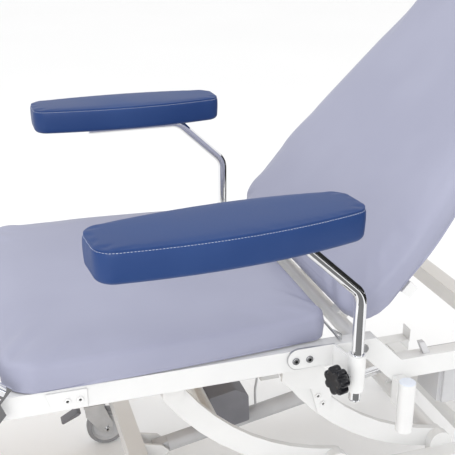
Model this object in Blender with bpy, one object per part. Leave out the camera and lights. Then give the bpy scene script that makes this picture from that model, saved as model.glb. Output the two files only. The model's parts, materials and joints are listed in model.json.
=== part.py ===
"""Patient recliner chair: lifting, reclining, with two swivelling armrests.

Metres, +Z up.  +X is the patient's left, +Y points to the head end.
The design frame has its zero at the armrest sockets: X on the chair's centre
plane, Y on the socket axes, Z on the sockets' top faces.  One empty carries
that frame to the floor-centred frame of the finished part.
"""
import math

import bmesh
import bpy
from mathutils import Matrix, Vector

# ---------------------------------------------------------------- dimensions
SOCKET_TOP = 0.561          # height of the armrest sockets' top faces
SHIFT_X = -0.012            # centres the box: one armrest is turned outward
SHIFT_Y = 0.2114
GAP = 0.0003                # clearance between touching pieces

RAIL_OUT = 0.335            # outer face of the seat rails
RAIL_W = 0.030
RAIL_TOP, RAIL_LOW = -0.0215, -0.0645
REAR_RAIL_Z = -0.1015       # middle of the rails' lowered rear stretch
CROSS_LOW = -0.0590         # underside of the seat's cross tubes
WALL = 0.002

SEAT_TOP, SEAT_BOTTOM = 0.039, -0.019
SEAT_FRONT, SEAT_REAR = -0.621, -0.0150
SEAT_REAR_R, SEAT_FRONT_R = 0.040, 0.080    # the seat cushion's corners in plan
BOARD = 0.0115

ARM_LENGTH = 0.4302         # lift arms, pivot to pivot
ARM_ANGLE = math.radians(32.95)
REAR_FOOT_Y, FRONT_FOOT_Y = 0.321, 0.068
FOOT_PIVOT_Z = -0.389
ARM_X = 0.198               # middle of a lift arm's plate
ARM_THICK = 0.014

BACK_PIVOT = (0.054, -0.040)
BACK_REST = math.radians(50)
BACK_LENGTH = 0.762
BACK_START = 0.0185
LEG_PIVOT = (-0.634, -0.043)
LEG_REST = math.radians(50)
LEG_LENGTH = 0.400

SOCKET_X = 0.4112
SOCKET_R, SOCKET_H = 0.0162, 0.074
TUBE_R = 0.011
PAD_BOTTOM, PAD_THICK = 0.2425, 0.058
PAD_FRONT, PAD_REAR = -0.479, -0.0175
LEFT_YAW, RIGHT_YAW = math.radians(5.6), math.radians(1.0)
KNOB_Z = -0.040
STUD_R = 0.0040             # the clamp knob's stud
SCREW_R, SCREW_HEAD = 0.0062, 0.0030
SCREW_YS = (-0.0883, -0.0611)

LIFT_FOOT = (-0.280, -0.425)
LIFT_LUG_R, LIFT_LUG_ANGLE = 0.090, math.radians(68)
BACK_FOOT = (-0.240, -0.104)
BACK_LUG_R, BACK_LUG_ANGLE = 0.070, math.radians(-22)

BASE_X, BASE_W, BASE_H = 0.245, 0.040, 0.040
BASE_TOP = -0.396
BASE_FRONT, BASE_REAR = -0.400, 0.440
WHEEL_R = 0.050
PIN_R, BORE_R = 0.0080, 0.0083
PIN_DEPTH = 0.036           # how far a hinge pin reaches inward from its rail
CASTOR_TRAIL = 0.032
ARM_BOW = 0.045             # how far a lift arm bows below its straight line
ROD_START = 0.075           # keeps a rod clear of its foot block when fully in
CUSHION_EDGE, PAD_EDGE = 0.014, 0.010

# ---------------------------------------------------------------- materials
COLOURS = {
    "white_frame": ((0.86, 0.86, 0.85), 0.35, 0.0),
    "chrome": ((0.80, 0.80, 0.82), 0.08, 1.0),
    "zinc": ((0.62, 0.63, 0.64), 0.35, 1.0),
    "blue_upholstery": ((0.085, 0.155, 0.42), 0.45, 0.0),
    "lavender_upholstery": ((0.47, 0.48, 0.64), 0.5, 0.0),
    "plywood": ((0.55, 0.40, 0.24), 0.7, 0.0),
    "black_plastic": ((0.012, 0.012, 0.014), 0.22, 0.0),
    "dark_plastic": ((0.11, 0.11, 0.125), 0.5, 0.0),
    "grey_plastic": ((0.50, 0.50, 0.51), 0.5, 0.0),
    "grey_rubber": ((0.30, 0.30, 0.31), 0.75, 0.0),
}


def clear_scene():
    for obj in list(bpy.data.objects):
        bpy.data.objects.remove(obj, do_unlink=True)


def material(name):
    mat = bpy.data.materials.get(name)
    if mat is None:
        colour, rough, metal = COLOURS[name]
        mat = bpy.data.materials.new(name)
        mat.use_nodes = True
        shader = mat.node_tree.nodes["Principled BSDF"]
        shader.inputs["Base Color"].default_value = (*colour, 1.0)
        shader.inputs["Roughness"].default_value = rough
        shader.inputs["Metallic"].default_value = metal
    return mat


# ---------------------------------------------------------------- helpers
def link(obj, parent):
    bpy.context.scene.collection.objects.link(obj)
    obj.parent = parent
    return obj


def empty(name, parent, location, rotation=(0, 0, 0)):
    obj = link(bpy.data.objects.new(name, None), parent)
    obj.location = location
    obj.rotation_euler = rotation
    return obj


def solid(name, bm, slot, parent, smooth=False):
    """Turn a bmesh into a named object with its own material."""
    bmesh.ops.recalc_face_normals(bm, faces=bm.faces)
    mesh = bpy.data.meshes.new(name)
    bm.to_mesh(mesh)
    bm.free()
    if smooth:
        mesh.shade_smooth()
        mesh.set_sharp_from_angle(angle=math.radians(35))
    obj = link(bpy.data.objects.new(name, mesh), parent)
    mesh.materials.append(material(slot))
    return obj


def helper(bm, parent):
    """A hidden shape that a Boolean uses."""
    obj = solid("helper", bm, "zinc", parent)
    obj.hide_render = True
    obj.display_type = "WIRE"
    return obj


def combine(obj, other, operation):
    mod = obj.modifiers.new(operation.lower(), "BOOLEAN")
    mod.operation = operation
    mod.solver = "EXACT"
    mod.object = other


def add_box(bm, low, high):
    low, high = Vector(low), Vector(high)
    place = Matrix.Translation((low + high) / 2) @ Matrix.Diagonal((*(high - low), 1))
    bmesh.ops.create_cube(bm, size=1.0, matrix=place)
    return bm


def box(low, high):
    return add_box(bmesh.new(), low, high)


def add_prism(bm, outline, low, high, axis="X"):
    """Extrude a flat outline along an axis: (y, z) for X, (x, z) for Y, (x, y) for Z."""
    def place(a, b, along):
        return {"X": (along, a, b), "Y": (a, along, b), "Z": (a, b, along)}[axis]
    first = [bm.verts.new(place(a, b, low)) for a, b in outline]
    last = [bm.verts.new(place(a, b, high)) for a, b in outline]
    bm.faces.new(first)
    bm.faces.new(last)
    count = len(outline)
    for i in range(count):
        j = (i + 1) % count
        bm.faces.new((first[i], first[j], last[j], last[i]))
    return bm


def prism(outline, low, high, axis="X"):
    return add_prism(bmesh.new(), outline, low, high, axis)


def circle(centre, radius, sides=16, start=0.0, sweep=2 * math.pi):
    """Points round an arc; a full circle leaves out its repeated last point."""
    full = abs(sweep - 2 * math.pi) < 1e-6
    steps = sides if full else sides + 1
    return [(centre[0] + radius * math.cos(start + sweep * i / sides),
             centre[1] + radius * math.sin(start + sweep * i / sides)) for i in range(steps)]


def rod(radius, low, high, centre, axis="X", sides=16):
    return prism(circle(centre, radius, sides), low, high, axis)


def ring(outer, inner, low, high, centre, axis="Z", sides=24):
    """A sleeve: two concentric walls closed by flat rings."""
    bm = bmesh.new()
    loops = []
    for radius in (outer, inner):
        for along in (low, high):
            points = circle(centre, radius, sides)
            places = {"X": [(along, a, b) for a, b in points],
                      "Y": [(a, along, b) for a, b in points],
                      "Z": [(a, b, along) for a, b in points]}[axis]
            loops.append([bm.verts.new(p) for p in places])
    outer_low, outer_high, inner_low, inner_high = loops
    for one, two in ((outer_low, outer_high), (outer_high, inner_high),
                     (inner_high, inner_low), (inner_low, outer_low)):
        for i in range(sides):
            j = (i + 1) % sides
            bm.faces.new((one[i], one[j], two[j], two[i]))
    return bm


def box_tube(low, high, axis):
    """A straight rectangular tube, open at both ends."""
    bm = bmesh.new()
    others = [i for i in range(3) if i != "XYZ".index(axis)]
    along = "XYZ".index(axis)
    loops = []
    for inset in (0.0, WALL):
        a0, a1 = low[others[0]] + inset, high[others[0]] - inset
        b0, b1 = low[others[1]] + inset, high[others[1]] - inset
        for end in (low[along], high[along]):
            loop = []
            for a, b in ((a0, b0), (a1, b0), (a1, b1), (a0, b1)):
                place = [0.0, 0.0, 0.0]
                place[along], place[others[0]], place[others[1]] = end, a, b
                loop.append(bm.verts.new(place))
            loops.append(loop)
    bridge_rings(bm, [loops[0], loops[1], loops[3], loops[2]])
    return bm


def bridge_rings(bm, loops):
    """Join loops of equal length in turn, and the last back to the first."""
    for one, two in zip(loops, loops[1:] + loops[:1]):
        for i in range(len(one)):
            j = (i + 1) % len(one)
            bm.faces.new((one[i], one[j], two[j], two[i]))


def bent_box_tube(path, width_low, width_high, height):
    """A rectangular tube along a (y, z) path with mitred bends, open at both ends."""
    bm = bmesh.new()
    directions = [(Vector(b) - Vector(a)).normalized() for a, b in zip(path, path[1:])]
    sections = {0.0: [], WALL: []}
    for i, point in enumerate(path):
        before = directions[max(i - 1, 0)]
        after = directions[min(i, len(directions) - 1)]
        middle = (before + after).normalized()
        normal = Vector((-middle.y, middle.x)) / middle.dot(after)
        for inset, loops in sections.items():
            half = height / 2 - inset
            x0, x1 = width_low + inset, width_high - inset
            top, low = Vector(point) + normal * half, Vector(point) - normal * half
            corners = ((x0, low), (x1, low), (x1, top), (x0, top))
            loops.append([bm.verts.new((x, p.x, p.y)) for x, p in corners])
    outer, inner = sections[0.0], sections[WALL]
    bridge_rings(bm, outer + inner[::-1])
    return bm


def rounded_outline(points, radii, steps=5):
    """Replace each corner of a polygon with an arc of its radius."""
    result = []
    count = len(points)
    for i, radius in enumerate(radii):
        here = Vector(points[i])
        if radius == 0:
            result.append(tuple(here))
            continue
        to_last = (Vector(points[i - 1]) - here).normalized()
        to_next = (Vector(points[(i + 1) % count]) - here).normalized()
        half_angle = to_last.angle(to_next) / 2
        centre = here + (to_last + to_next).normalized() * radius / math.sin(half_angle)
        first = here + to_last * radius / math.tan(half_angle) - centre
        last = here + to_next * radius / math.tan(half_angle) - centre
        begin = math.atan2(first.y, first.x)
        turn = math.atan2(last.y, last.x) - begin
        turn = (turn + math.pi) % (2 * math.pi) - math.pi
        result += circle(tuple(centre), radius, steps, begin, turn)
    return result


def bend_path(points, radius, steps=6):
    """Round the inner corners of a 3-D polyline that bends in one plane."""
    path = [Vector(points[0])]
    for before, here, after in zip(points, points[1:], points[2:]):
        here = Vector(here)
        to_last = (Vector(before) - here).normalized()
        to_next = (Vector(after) - here).normalized()
        half_angle = to_last.angle(to_next) / 2
        centre = here + (to_last + to_next).normalized() * radius / math.sin(half_angle)
        first = (here + to_last * radius / math.tan(half_angle) - centre).normalized()
        last = (here + to_next * radius / math.tan(half_angle) - centre).normalized()
        for i in range(steps + 1):
            path.append(centre + first.slerp(last, i / steps) * radius)
    path.append(Vector(points[-1]))
    return path


def round_tube(name, path, radius, slot, parent, resolution=4):
    """A solid round bar along a path: a curve with a bevel and filled caps."""
    curve = bpy.data.curves.new(name, "CURVE")
    curve.dimensions = "3D"
    curve.bevel_depth = radius
    curve.bevel_resolution = resolution
    curve.use_fill_caps = True
    spline = curve.splines.new("POLY")
    spline.points.add(len(path) - 1)
    for point, place in zip(spline.points, path):
        point.co = (*place, 1.0)
    curve.materials.append(material(slot))
    return link(bpy.data.objects.new(name, curve), parent)


def mirror_pair(build):
    """Call a builder for the left and the right side."""
    for side, sign in (("left", 1), ("right", -1)):
        build(side, sign)


def span(sign, near, far):
    """An X interval on the side that sign gives, low value first."""
    return (near, far) if sign > 0 else (-far, -near)


# ---------------------------------------------------------------- upholstery
def seat_half_width(y):
    rear_share = max(0.0, (y + 0.600) / 0.579)
    return 0.3475 - 0.0285 * rear_share ** 2.2


def back_half_width(s):
    """Half width of the backrest at a distance s up from its lower edge."""
    belly, taper, taper_start = 0.354, 0.225, 0.205
    return belly - taper * max(0.0, s - taper_start)


def leg_half_width(s):
    return 0.335 - 0.05 * s / LEG_LENGTH


def pad_half_width(s):
    """Half width of an arm pad at a distance s forward of its rear end."""
    length = PAD_REAR - PAD_FRONT
    middle, rear, front = 0.0735, 0.045, 0.050
    t = 2 * s / length - 1
    end = front if t > 0 else rear
    return middle - (middle - end) * t * t


def cushion_outline(half_width, length, rear_radius, front_radius, steps=8):
    """Plan outline of a cushion: (x, s) with s from 0 at its first end."""
    first = half_width(0.0)
    points = [(first, 0.0)]
    inner = [length * (i + 1) / (steps + 1) for i in range(steps)]
    points += [(half_width(s), s) for s in inner]
    points.append((half_width(length), length))
    radii = [rear_radius] + [0.0] * steps + [front_radius]
    mirrored = [(-x, s) for x, s in reversed(points)]
    return rounded_outline(points + mirrored, radii + radii[::-1])


def soft_slab(name, outline, low, high, edge, slot, parent):
    """A plain cushion solid with chamfered upper and lower rims."""
    bm = bmesh.new()
    centre = Vector((sum(p[0] for p in outline), sum(p[1] for p in outline))) / len(outline)
    loops = []
    for z, inset in ((low, edge), (low + edge, 0.0), (high - edge, 0.0), (high, edge)):
        loop = []
        for x, y in outline:
            arm = Vector((x, y)) - centre
            place = centre + arm * (1 - inset / arm.length)
            loop.append(bm.verts.new((*place, z)))
        loops.append(loop)
    bm.faces.new(loops[0])
    bm.faces.new(loops[-1])
    for one, two in zip(loops, loops[1:]):
        for i in range(len(one)):
            j = (i + 1) % len(one)
            bm.faces.new((one[i], one[j], two[j], two[i]))
    return solid(name, bm, slot, parent)


# ---------------------------------------------------------------- base
def build_base(root):
    low, high = BASE_TOP - BASE_H, BASE_TOP

    def rail(side, sign):
        x0, x1 = span(sign, BASE_X - BASE_W / 2, BASE_X + BASE_W / 2)
        tube = box_tube((x0, BASE_FRONT - 0.05, low), (x1, BASE_REAR + 0.05, high), "Y")
        tube = solid(f"base_{side}_rail", tube, "white_frame", root)
        x0, x1 = span(sign, ARM_X + ARM_THICK / 2 + GAP, BASE_X - BASE_W / 2 + 0.001)
        for centre in foot_pivots():
            weld(tube, prism(lug_outline(centre, 0.026, 0.052, low + 0.002), x0, x1), root)
            pin = span(sign, ARM_X - ARM_THICK / 2 - 0.004, ARM_X + ARM_THICK / 2 + 0.003)
            weld(tube, rod(PIN_R, *pin, centre), root)
    mirror_pair(rail)
    inner = BASE_X - BASE_W / 2 - GAP
    front_y = BASE_FRONT + 0.06
    for name, y in (("front", front_y), ("rear", BASE_REAR)):
        tube = box_tube((-inner, y - 0.02, low), (inner, y + 0.02, high), "X")
        cross = solid(f"base_{name}_cross", tube, "white_frame", root)
        if name == "front":
            foot_y, foot_z = LIFT_FOOT
            ear = [(front_y + 0.019, low), (foot_y, foot_z - 0.018), (foot_y + 0.018, foot_z),
                   (foot_y, foot_z + 0.018), (front_y + 0.019, high)]
            weld_ears(cross, ear, 0.0185, 0.0245, root)


def weld(obj, bm, parent):
    combine(obj, helper(bm, parent), "UNION")


def weld_ears(cross, outline, near, far, root):
    """Two plates, one on each side of the chair's centre plane, welded to a cross tube."""
    for sign in (1, -1):
        weld(cross, prism(outline, *span(sign, near, far)), root)


def lug_outline(centre, radius, width, foot):
    """A plate that stands on a foot line and rounds over its pivot."""
    arc = circle(centre, radius, 8, 0.0, math.pi)
    return [(centre[0] + width / 2, foot), *arc, (centre[0] - width / 2, foot)]


def foot_pivots():
    return ((FRONT_FOOT_Y, FOOT_PIVOT_Z), (REAR_FOOT_Y, FOOT_PIVOT_Z))


def cut_holes(obj, centres, radius, root):
    bm = bmesh.new()
    for centre in centres:
        add_prism(bm, circle(centre, radius), -0.45, 0.45)
    combine(obj, helper(bm, root), "DIFFERENCE")


def build_castor(root, name, x, y, with_pedal):
    """A swivelling castor: its empty stands on the swivel axis."""
    floor = -SOCKET_TOP
    axle = floor + WHEEL_R
    crown = BASE_TOP - BASE_H - GAP
    swivel = empty(f"castor_{name}_swivel", root, (x, y, 0))
    inner, outer = 0.0175, 0.0215
    trail = CASTOR_TRAIL
    side = [(-0.022, crown - 0.004), (0.026, crown - 0.004), (trail + 0.016, axle + 0.014),
            (trail + 0.012, axle - 0.012), (trail - 0.012, axle - 0.012), (-0.020, crown - 0.030)]
    bm = box((-outer, -0.024, crown - 0.006), (outer, 0.028, crown))
    fork = solid(f"castor_{name}_fork", bm, "zinc", swivel)
    for sign in (1, -1):
        x0, x1 = span(sign, inner, outer)
        weld(fork, prism(side, x0, x1), swivel)
    weld(fork, rod(0.0060, -outer, outer, (trail, axle)), swivel)
    bm = ring(WHEEL_R, 0.0064, -0.0150, 0.0150, (0.0, 0.0), "X", 24)
    rim = [e for e in bm.edges if all(abs(v.co.yz.length - WHEEL_R) < 1e-6 for v in e.verts)
           and abs(e.verts[0].co.x - e.verts[1].co.x) < 1e-6]
    bmesh.ops.bevel(bm, geom=rim, offset=0.005, segments=2, affect="EDGES", profile=0.5)
    wheel = solid(f"castor_{name}_wheel", bm, "grey_rubber", swivel, smooth=True)
    wheel.location = (0, trail, axle)
    if with_pedal:
        build_pedal(name, swivel, crown)


def build_pedal(name, swivel, crown):
    """A foot lever hinged on the fork's front edge."""
    hinge = empty(f"castor_{name}_pedal_hinge", swivel, (0, -0.030, crown - 0.022))
    outline = [(0.0, 0.004), (-0.006, -0.003), (-0.048, -0.022), (-0.052, -0.018), (-0.010, 0.006)]
    solid(f"castor_{name}_pedal", prism(outline, -0.016, 0.016), "dark_plastic", hinge)


def build_castors(root):
    for name, sx, y in (("front_left", 1, BASE_FRONT), ("front_right", -1, BASE_FRONT),
                        ("rear_left", 1, BASE_REAR), ("rear_right", -1, BASE_REAR)):
        build_castor(root, name, sx * BASE_X, y, with_pedal=name.startswith("front"))


# ---------------------------------------------------------------- lift
def top_pivot(foot_y):
    return (foot_y - ARM_LENGTH * math.cos(ARM_ANGLE),
            FOOT_PIVOT_Z + ARM_LENGTH * math.sin(ARM_ANGLE))


def bowed_line(foot_y, share):
    """A lift arm's centre line: the point and the direction at a share of its length."""
    foot, top = Vector((foot_y, FOOT_PIVOT_Z)), Vector(top_pivot(foot_y))
    along = (top - foot).normalized()
    down = Vector((along.y, -along.x))
    if down.y > 0:
        down = -down
    point = foot + (top - foot) * share + down * ARM_BOW * 4 * share * (1 - share)
    direction = (along * ARM_LENGTH + down * ARM_BOW * 4 * (1 - 2 * share)).normalized()
    return point, direction


def lift_arm_outline(foot_y, half):
    """A curved arm plate: constant width along an arc that bows downward."""
    steps = 8
    left, right = [], []
    for i in range(steps + 1):
        centre, direction = bowed_line(foot_y, i / steps)
        side = Vector((-direction.y, direction.x)) * half
        left.append(tuple(centre + side))
        right.append(tuple(centre - side))
    foot, first = bowed_line(foot_y, 0.0)
    top, last = bowed_line(foot_y, 1.0)
    top_cap = circle(tuple(top), half, 6, math.atan2(last.x, -last.y), -math.pi)
    foot_cap = circle(tuple(foot), half, 6, math.atan2(-first.x, first.y), -math.pi)
    return left + top_cap[1:-1] + right[::-1] + foot_cap[1:-1]


def build_lift_arm(root, name, foot_y, cross_share):
    """Two curved plates joined by a cross tube, turning on the foot pivots."""
    plate_half, cross_radius = 0.023, 0.0165
    bm = bmesh.new()
    outline = lift_arm_outline(foot_y, plate_half)
    for sign in (1, -1):
        x0, x1 = span(sign, ARM_X - ARM_THICK / 2, ARM_X + ARM_THICK / 2)
        add_prism(bm, outline, x0, x1)
    arm = solid(name, bm, "white_frame", root)
    centre, _ = bowed_line(foot_y, cross_share)
    reach = ARM_X - ARM_THICK / 2 + 0.004
    weld(arm, rod(cross_radius, -reach, reach, tuple(centre), sides=12), root)
    return arm


def lift_lug():
    return (REAR_FOOT_Y + LIFT_LUG_R * math.cos(LIFT_LUG_ANGLE),
            FOOT_PIVOT_Z + LIFT_LUG_R * math.sin(LIFT_LUG_ANGLE))


def back_lug():
    return (BACK_PIVOT[0] + BACK_LUG_R * math.cos(BACK_LUG_ANGLE),
            BACK_PIVOT[1] + BACK_LUG_R * math.sin(BACK_LUG_ANGLE))


def build_lift(root):
    front = build_lift_arm(root, "front_lift_arm", FRONT_FOOT_Y, 0.70)
    rear = build_lift_arm(root, "rear_lift_arm", REAR_FOOT_Y, 0.80)
    for arm, foot_y in ((front, FRONT_FOOT_Y), (rear, REAR_FOOT_Y)):
        cut_holes(arm, ((foot_y, FOOT_PIVOT_Z), top_pivot(foot_y)), BORE_R, root)
    # A torsion tube round the rear foot pivot carries the two crank plates.
    foot = (REAR_FOOT_Y, FOOT_PIVOT_Z)
    reach = ARM_X - ARM_THICK / 2 - 0.006
    weld(rear, rod(0.019, -reach, reach, foot, sides=16), root)
    for sign in (1, -1):
        x0, x1 = span(sign, reach - 0.002, ARM_X - ARM_THICK / 2 + 0.004)
        collar = ring(0.0225, 0.0125, x0, x1, foot, "X", 16)
        weld(rear, collar, root)
        x0, x1 = span(sign, 0.0135, 0.0195)
        weld(rear, crank(foot, lift_lug(), 0.019, 0.014, x0, x1), root)


def crank(centre, tip, wide, narrow, x0, x1):
    """A tapered plate from a shaft to a lug, round at both ends."""
    centre, tip = Vector(centre), Vector(tip)
    along = (tip - centre).normalized()
    turn = math.atan2(along.y, along.x)
    quarter = math.pi / 2
    around = circle(tuple(centre), wide, 6, turn + quarter, math.pi)
    around += circle(tuple(tip), narrow, 6, turn - quarter, math.pi)
    return prism(around, x0, x1)


def build_actuator(root, name, foot, lug, tube_share, radius, add_motor):
    """A tube with a motor and an extending rod, along +Y of an empty at its foot."""
    direction = Vector(lug) - Vector(foot)
    turn = math.atan2(direction.y, direction.x)
    length = direction.length
    pivot = empty(f"{name}_pivot", root, (0, *foot), (turn, 0, 0))
    tube_end = length * tube_share
    sleeve = ring(radius, radius * 0.62, 0.020, tube_end, (0.0, 0.0), "Y", 16)
    body = solid(f"{name}_tube", sleeve, "grey_plastic", pivot, smooth=True)
    weld(body, box((-0.013, -0.014, -0.014), (0.013, 0.026, 0.014)), pivot)
    bar = rod(radius * 0.55, ROD_START, length - 0.008, (0.0, 0.0), "Y", 12)
    ram = solid(f"{name}_rod", bar, "chrome", pivot, smooth=True)
    eye = box((-0.0125, length - 0.016, -0.010), (0.0125, length + 0.012, 0.010))
    weld(ram, eye, pivot)
    add_motor(pivot, radius)


def build_lift_actuator(root):
    """The lift actuator pushes the rear arm's crank from the front cross tube."""
    def motor(pivot, radius):
        low = radius + GAP
        outline = rounded_outline([(0.108, low), (0.212, low), (0.222, 0.088), (0.196, 0.112),
                                   (0.120, 0.112)], [0.004, 0.004, 0.012, 0.012, 0.018], 3)
        housing = prism(outline, -0.045, 0.045)
        solid("lift_motor_housing", housing, "dark_plastic", pivot)
        lead = [(0.0, 0.2074, 0.1068), (0.0, 0.2160, 0.1200), (0.0, 0.231, 0.139),
                (0.0, 0.252, 0.140), (0.0, 0.262, 0.118), (0.0, 0.258, 0.090),
                (0.0, 0.249, 0.062), (0.0, 0.243, radius + 0.004)]
        round_tube("lift_motor_lead", smooth_route(lead, 22), 0.0028, "grey_plastic", pivot, 2)
    build_actuator(root, "lift_actuator", LIFT_FOOT, lift_lug(), 0.70, 0.019, motor)


def build_back_actuator(root):
    def motor(pivot, radius):
        low = -radius - GAP
        outline = rounded_outline([(0.018, low), (0.018, -0.088), (0.080, -0.088), (0.098, low)],
                                  [0.004, 0.012, 0.012, 0.004], 3)
        solid("back_motor_housing", prism(outline, -0.038, 0.038), "dark_plastic", pivot)
    build_actuator(root, "back_actuator", BACK_FOOT, back_lug(), 0.62, 0.0145, motor)


def smooth_route(points, count):
    """Points along a smooth curve through a hand-chosen route."""
    points = [Vector(p) for p in points]
    ends = [2 * points[0] - points[1], *points, 2 * points[-1] - points[-2]]
    route = []
    pieces = len(points) - 1
    for k in range(count + 1):
        at = k / count * pieces
        i = min(int(at), pieces - 1)
        t = at - i
        a, b, c, d = ends[i:i + 4]
        route.append(0.5 * (2 * b + (c - a) * t + (2 * a - 5 * b + 4 * c - d) * t ** 2
                            + (3 * b - a - 3 * c + d) * t ** 3))
    return route


# ---------------------------------------------------------------- seat frame
def build_seat_frame(root):
    middle = (RAIL_TOP + RAIL_LOW) / 2
    height = RAIL_TOP - RAIL_LOW
    path = [(-0.652, middle), (0.070, middle), (0.128, REAR_RAIL_Z), (0.440, REAR_RAIL_Z)]

    def rail(side, sign):
        x0, x1 = span(sign, RAIL_OUT - RAIL_W, RAIL_OUT)
        tube = solid(f"seat_{side}_rail", bent_box_tube(path, x0, x1, height), "white_frame", root)
        cut_holes(tube, (BACK_PIVOT, LEG_PIVOT), BORE_R, root)
    mirror_pair(rail)
    inner = RAIL_OUT - RAIL_W - GAP
    cross_top = SEAT_BOTTOM - GAP - BOARD - GAP
    for name, foot_y, hanger in (("front", FRONT_FOOT_Y, front_hanger),
                                 ("rear", REAR_FOOT_Y, rear_hanger)):
        top = top_pivot(foot_y)
        y = top[0]
        tube = box_tube((-inner, y - 0.02, CROSS_LOW), (inner, y + 0.02, cross_top), "X")
        cross = solid(f"seat_{name}_cross", tube, "white_frame", root)
        if name == "front":
            ear_y, ear_z = BACK_FOOT
            ear = [(y + 0.019, CROSS_LOW), (ear_y - 0.004, ear_z - 0.014),
                   (ear_y + 0.012, ear_z - 0.010), (ear_y + 0.012, ear_z + 0.012),
                   (y + 0.019, cross_top - 0.002)]
            weld_ears(cross, ear, 0.0135, 0.0185, root)
        weld_hangers(cross, top, hanger(top), root)
    head = box_tube((-inner, 0.395, -0.119), (inner, 0.435, -0.081), "X")
    solid("head_cross", head, "white_frame", root)
    board = box((-inner, -0.600, cross_top + GAP), (inner, -0.0300, SEAT_BOTTOM - GAP))
    solid("seat_board", board, "plywood", root)
    outline = cushion_outline(lambda s: seat_half_width(SEAT_REAR - s), SEAT_REAR - SEAT_FRONT,
                              SEAT_REAR_R, SEAT_FRONT_R)
    outline = [(x, SEAT_REAR - s) for x, s in outline]
    soft_slab("seat_cushion", outline, SEAT_BOTTOM, SEAT_TOP, CUSHION_EDGE,
              "lavender_upholstery", root)


def weld_hangers(cross, top, plate, root):
    """Two plates under a cross tube, each with the pin of a lift arm's top pivot."""
    for sign in (1, -1):
        near = ARM_X + ARM_THICK / 2 + GAP
        weld(cross, prism(plate, *span(sign, near, near + 0.007)), root)
        pin = span(sign, ARM_X - ARM_THICK / 2 - 0.004, near + 0.003)
        weld(cross, rod(PIN_R, *pin, top), root)


def front_hanger(top):
    """A straight post, round at its lower end."""
    plate = lug_outline(top, 0.0215, 0.040, CROSS_LOW + 0.001)
    return [(y, z if z > top[1] + 0.05 else 2 * top[1] - z) for y, z in plate]


def rear_hanger(top):
    """A broad plate whose heel reaches down behind the pivot."""
    y, z = top
    head = CROSS_LOW + 0.001
    return [(y - 0.018, head), (y - 0.024, z - 0.012), (y - 0.010, z - 0.026),
            (y + 0.042, z - 0.040), (y + 0.060, z - 0.104), (y + 0.088, z - 0.104),
            (y + 0.090, z - 0.030), (y + 0.018, head)]


def build_fittings(root):
    """Control box, pole socket, cushion hooks and back stops on the seat frame."""
    box_shape = box((0.236, 0.233, -0.2020), (0.3300, 0.3450, -0.1235))
    vertical = [e for e in box_shape.edges if abs(e.verts[0].co.z - e.verts[1].co.z) > 0.01]
    bmesh.ops.bevel(box_shape, geom=vertical, offset=0.008, segments=2, affect="EDGES")
    solid("control_box", box_shape, "grey_plastic", root)
    x, y, top, low = 0.3740, 0.131, -0.107, -0.215
    socket = solid("pole_socket", ring(0.0165, 0.0128, low, top, (x, y)), "white_frame", root,
                   smooth=True)
    arm = box((RAIL_OUT + GAP, y - 0.012, -0.170), (x - 0.0145, y + 0.012, -0.1120))
    weld(socket, arm, root)
    rail_top = REAR_RAIL_Z + (RAIL_TOP - RAIL_LOW) / 2 + GAP
    stop = [(0.190, rail_top), (0.178, -0.0535), (0.190, -0.0535), (0.204, rail_top)]
    mirror_pair(lambda side, sign: solid(f"{side}_back_stop", prism(stop, *span(sign, 0.315, 0.327)),
                                         "grey_rubber", root))
    build_retainer(root)


def build_retainer(root):
    """A bent wire across the rails whose tips keep the seat cushion from sliding back."""
    x, y, z = 0.328, 0.007, RAIL_TOP + 0.0030
    half = [(0.0, y, z), (x, y, z), (x, y - 0.001, z + 0.013), (x, y - 0.018, z + 0.025)]
    right = [(-px, py, pz) for px, py, pz in half[:0:-1]]
    round_tube("cushion_retainer", bend_path(right + half[1:], 0.006, 4), 0.0024, "zinc", root, 2)


def sweep(bm, path, radius, sides):
    """A capped round bar in a plane of constant X, as one closed body."""
    loops = []
    for i, point in enumerate(path):
        along = (path[min(i + 1, len(path) - 1)] - path[max(i - 1, 0)]).normalized()
        across = Vector((1, 0, 0))
        normal = along.cross(across).normalized()
        loop = []
        for k in range(sides):
            turn = 2 * math.pi * k / sides
            offset = across * math.cos(turn) + normal * math.sin(turn)
            loop.append(bm.verts.new(point + offset * radius))
        loops.append(loop)
    bm.faces.new(loops[0])
    bm.faces.new(loops[-1])
    for one, two in zip(loops, loops[1:]):
        for i in range(sides):
            j = (i + 1) % sides
            bm.faces.new((one[i], one[j], two[j], two[i]))


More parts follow.
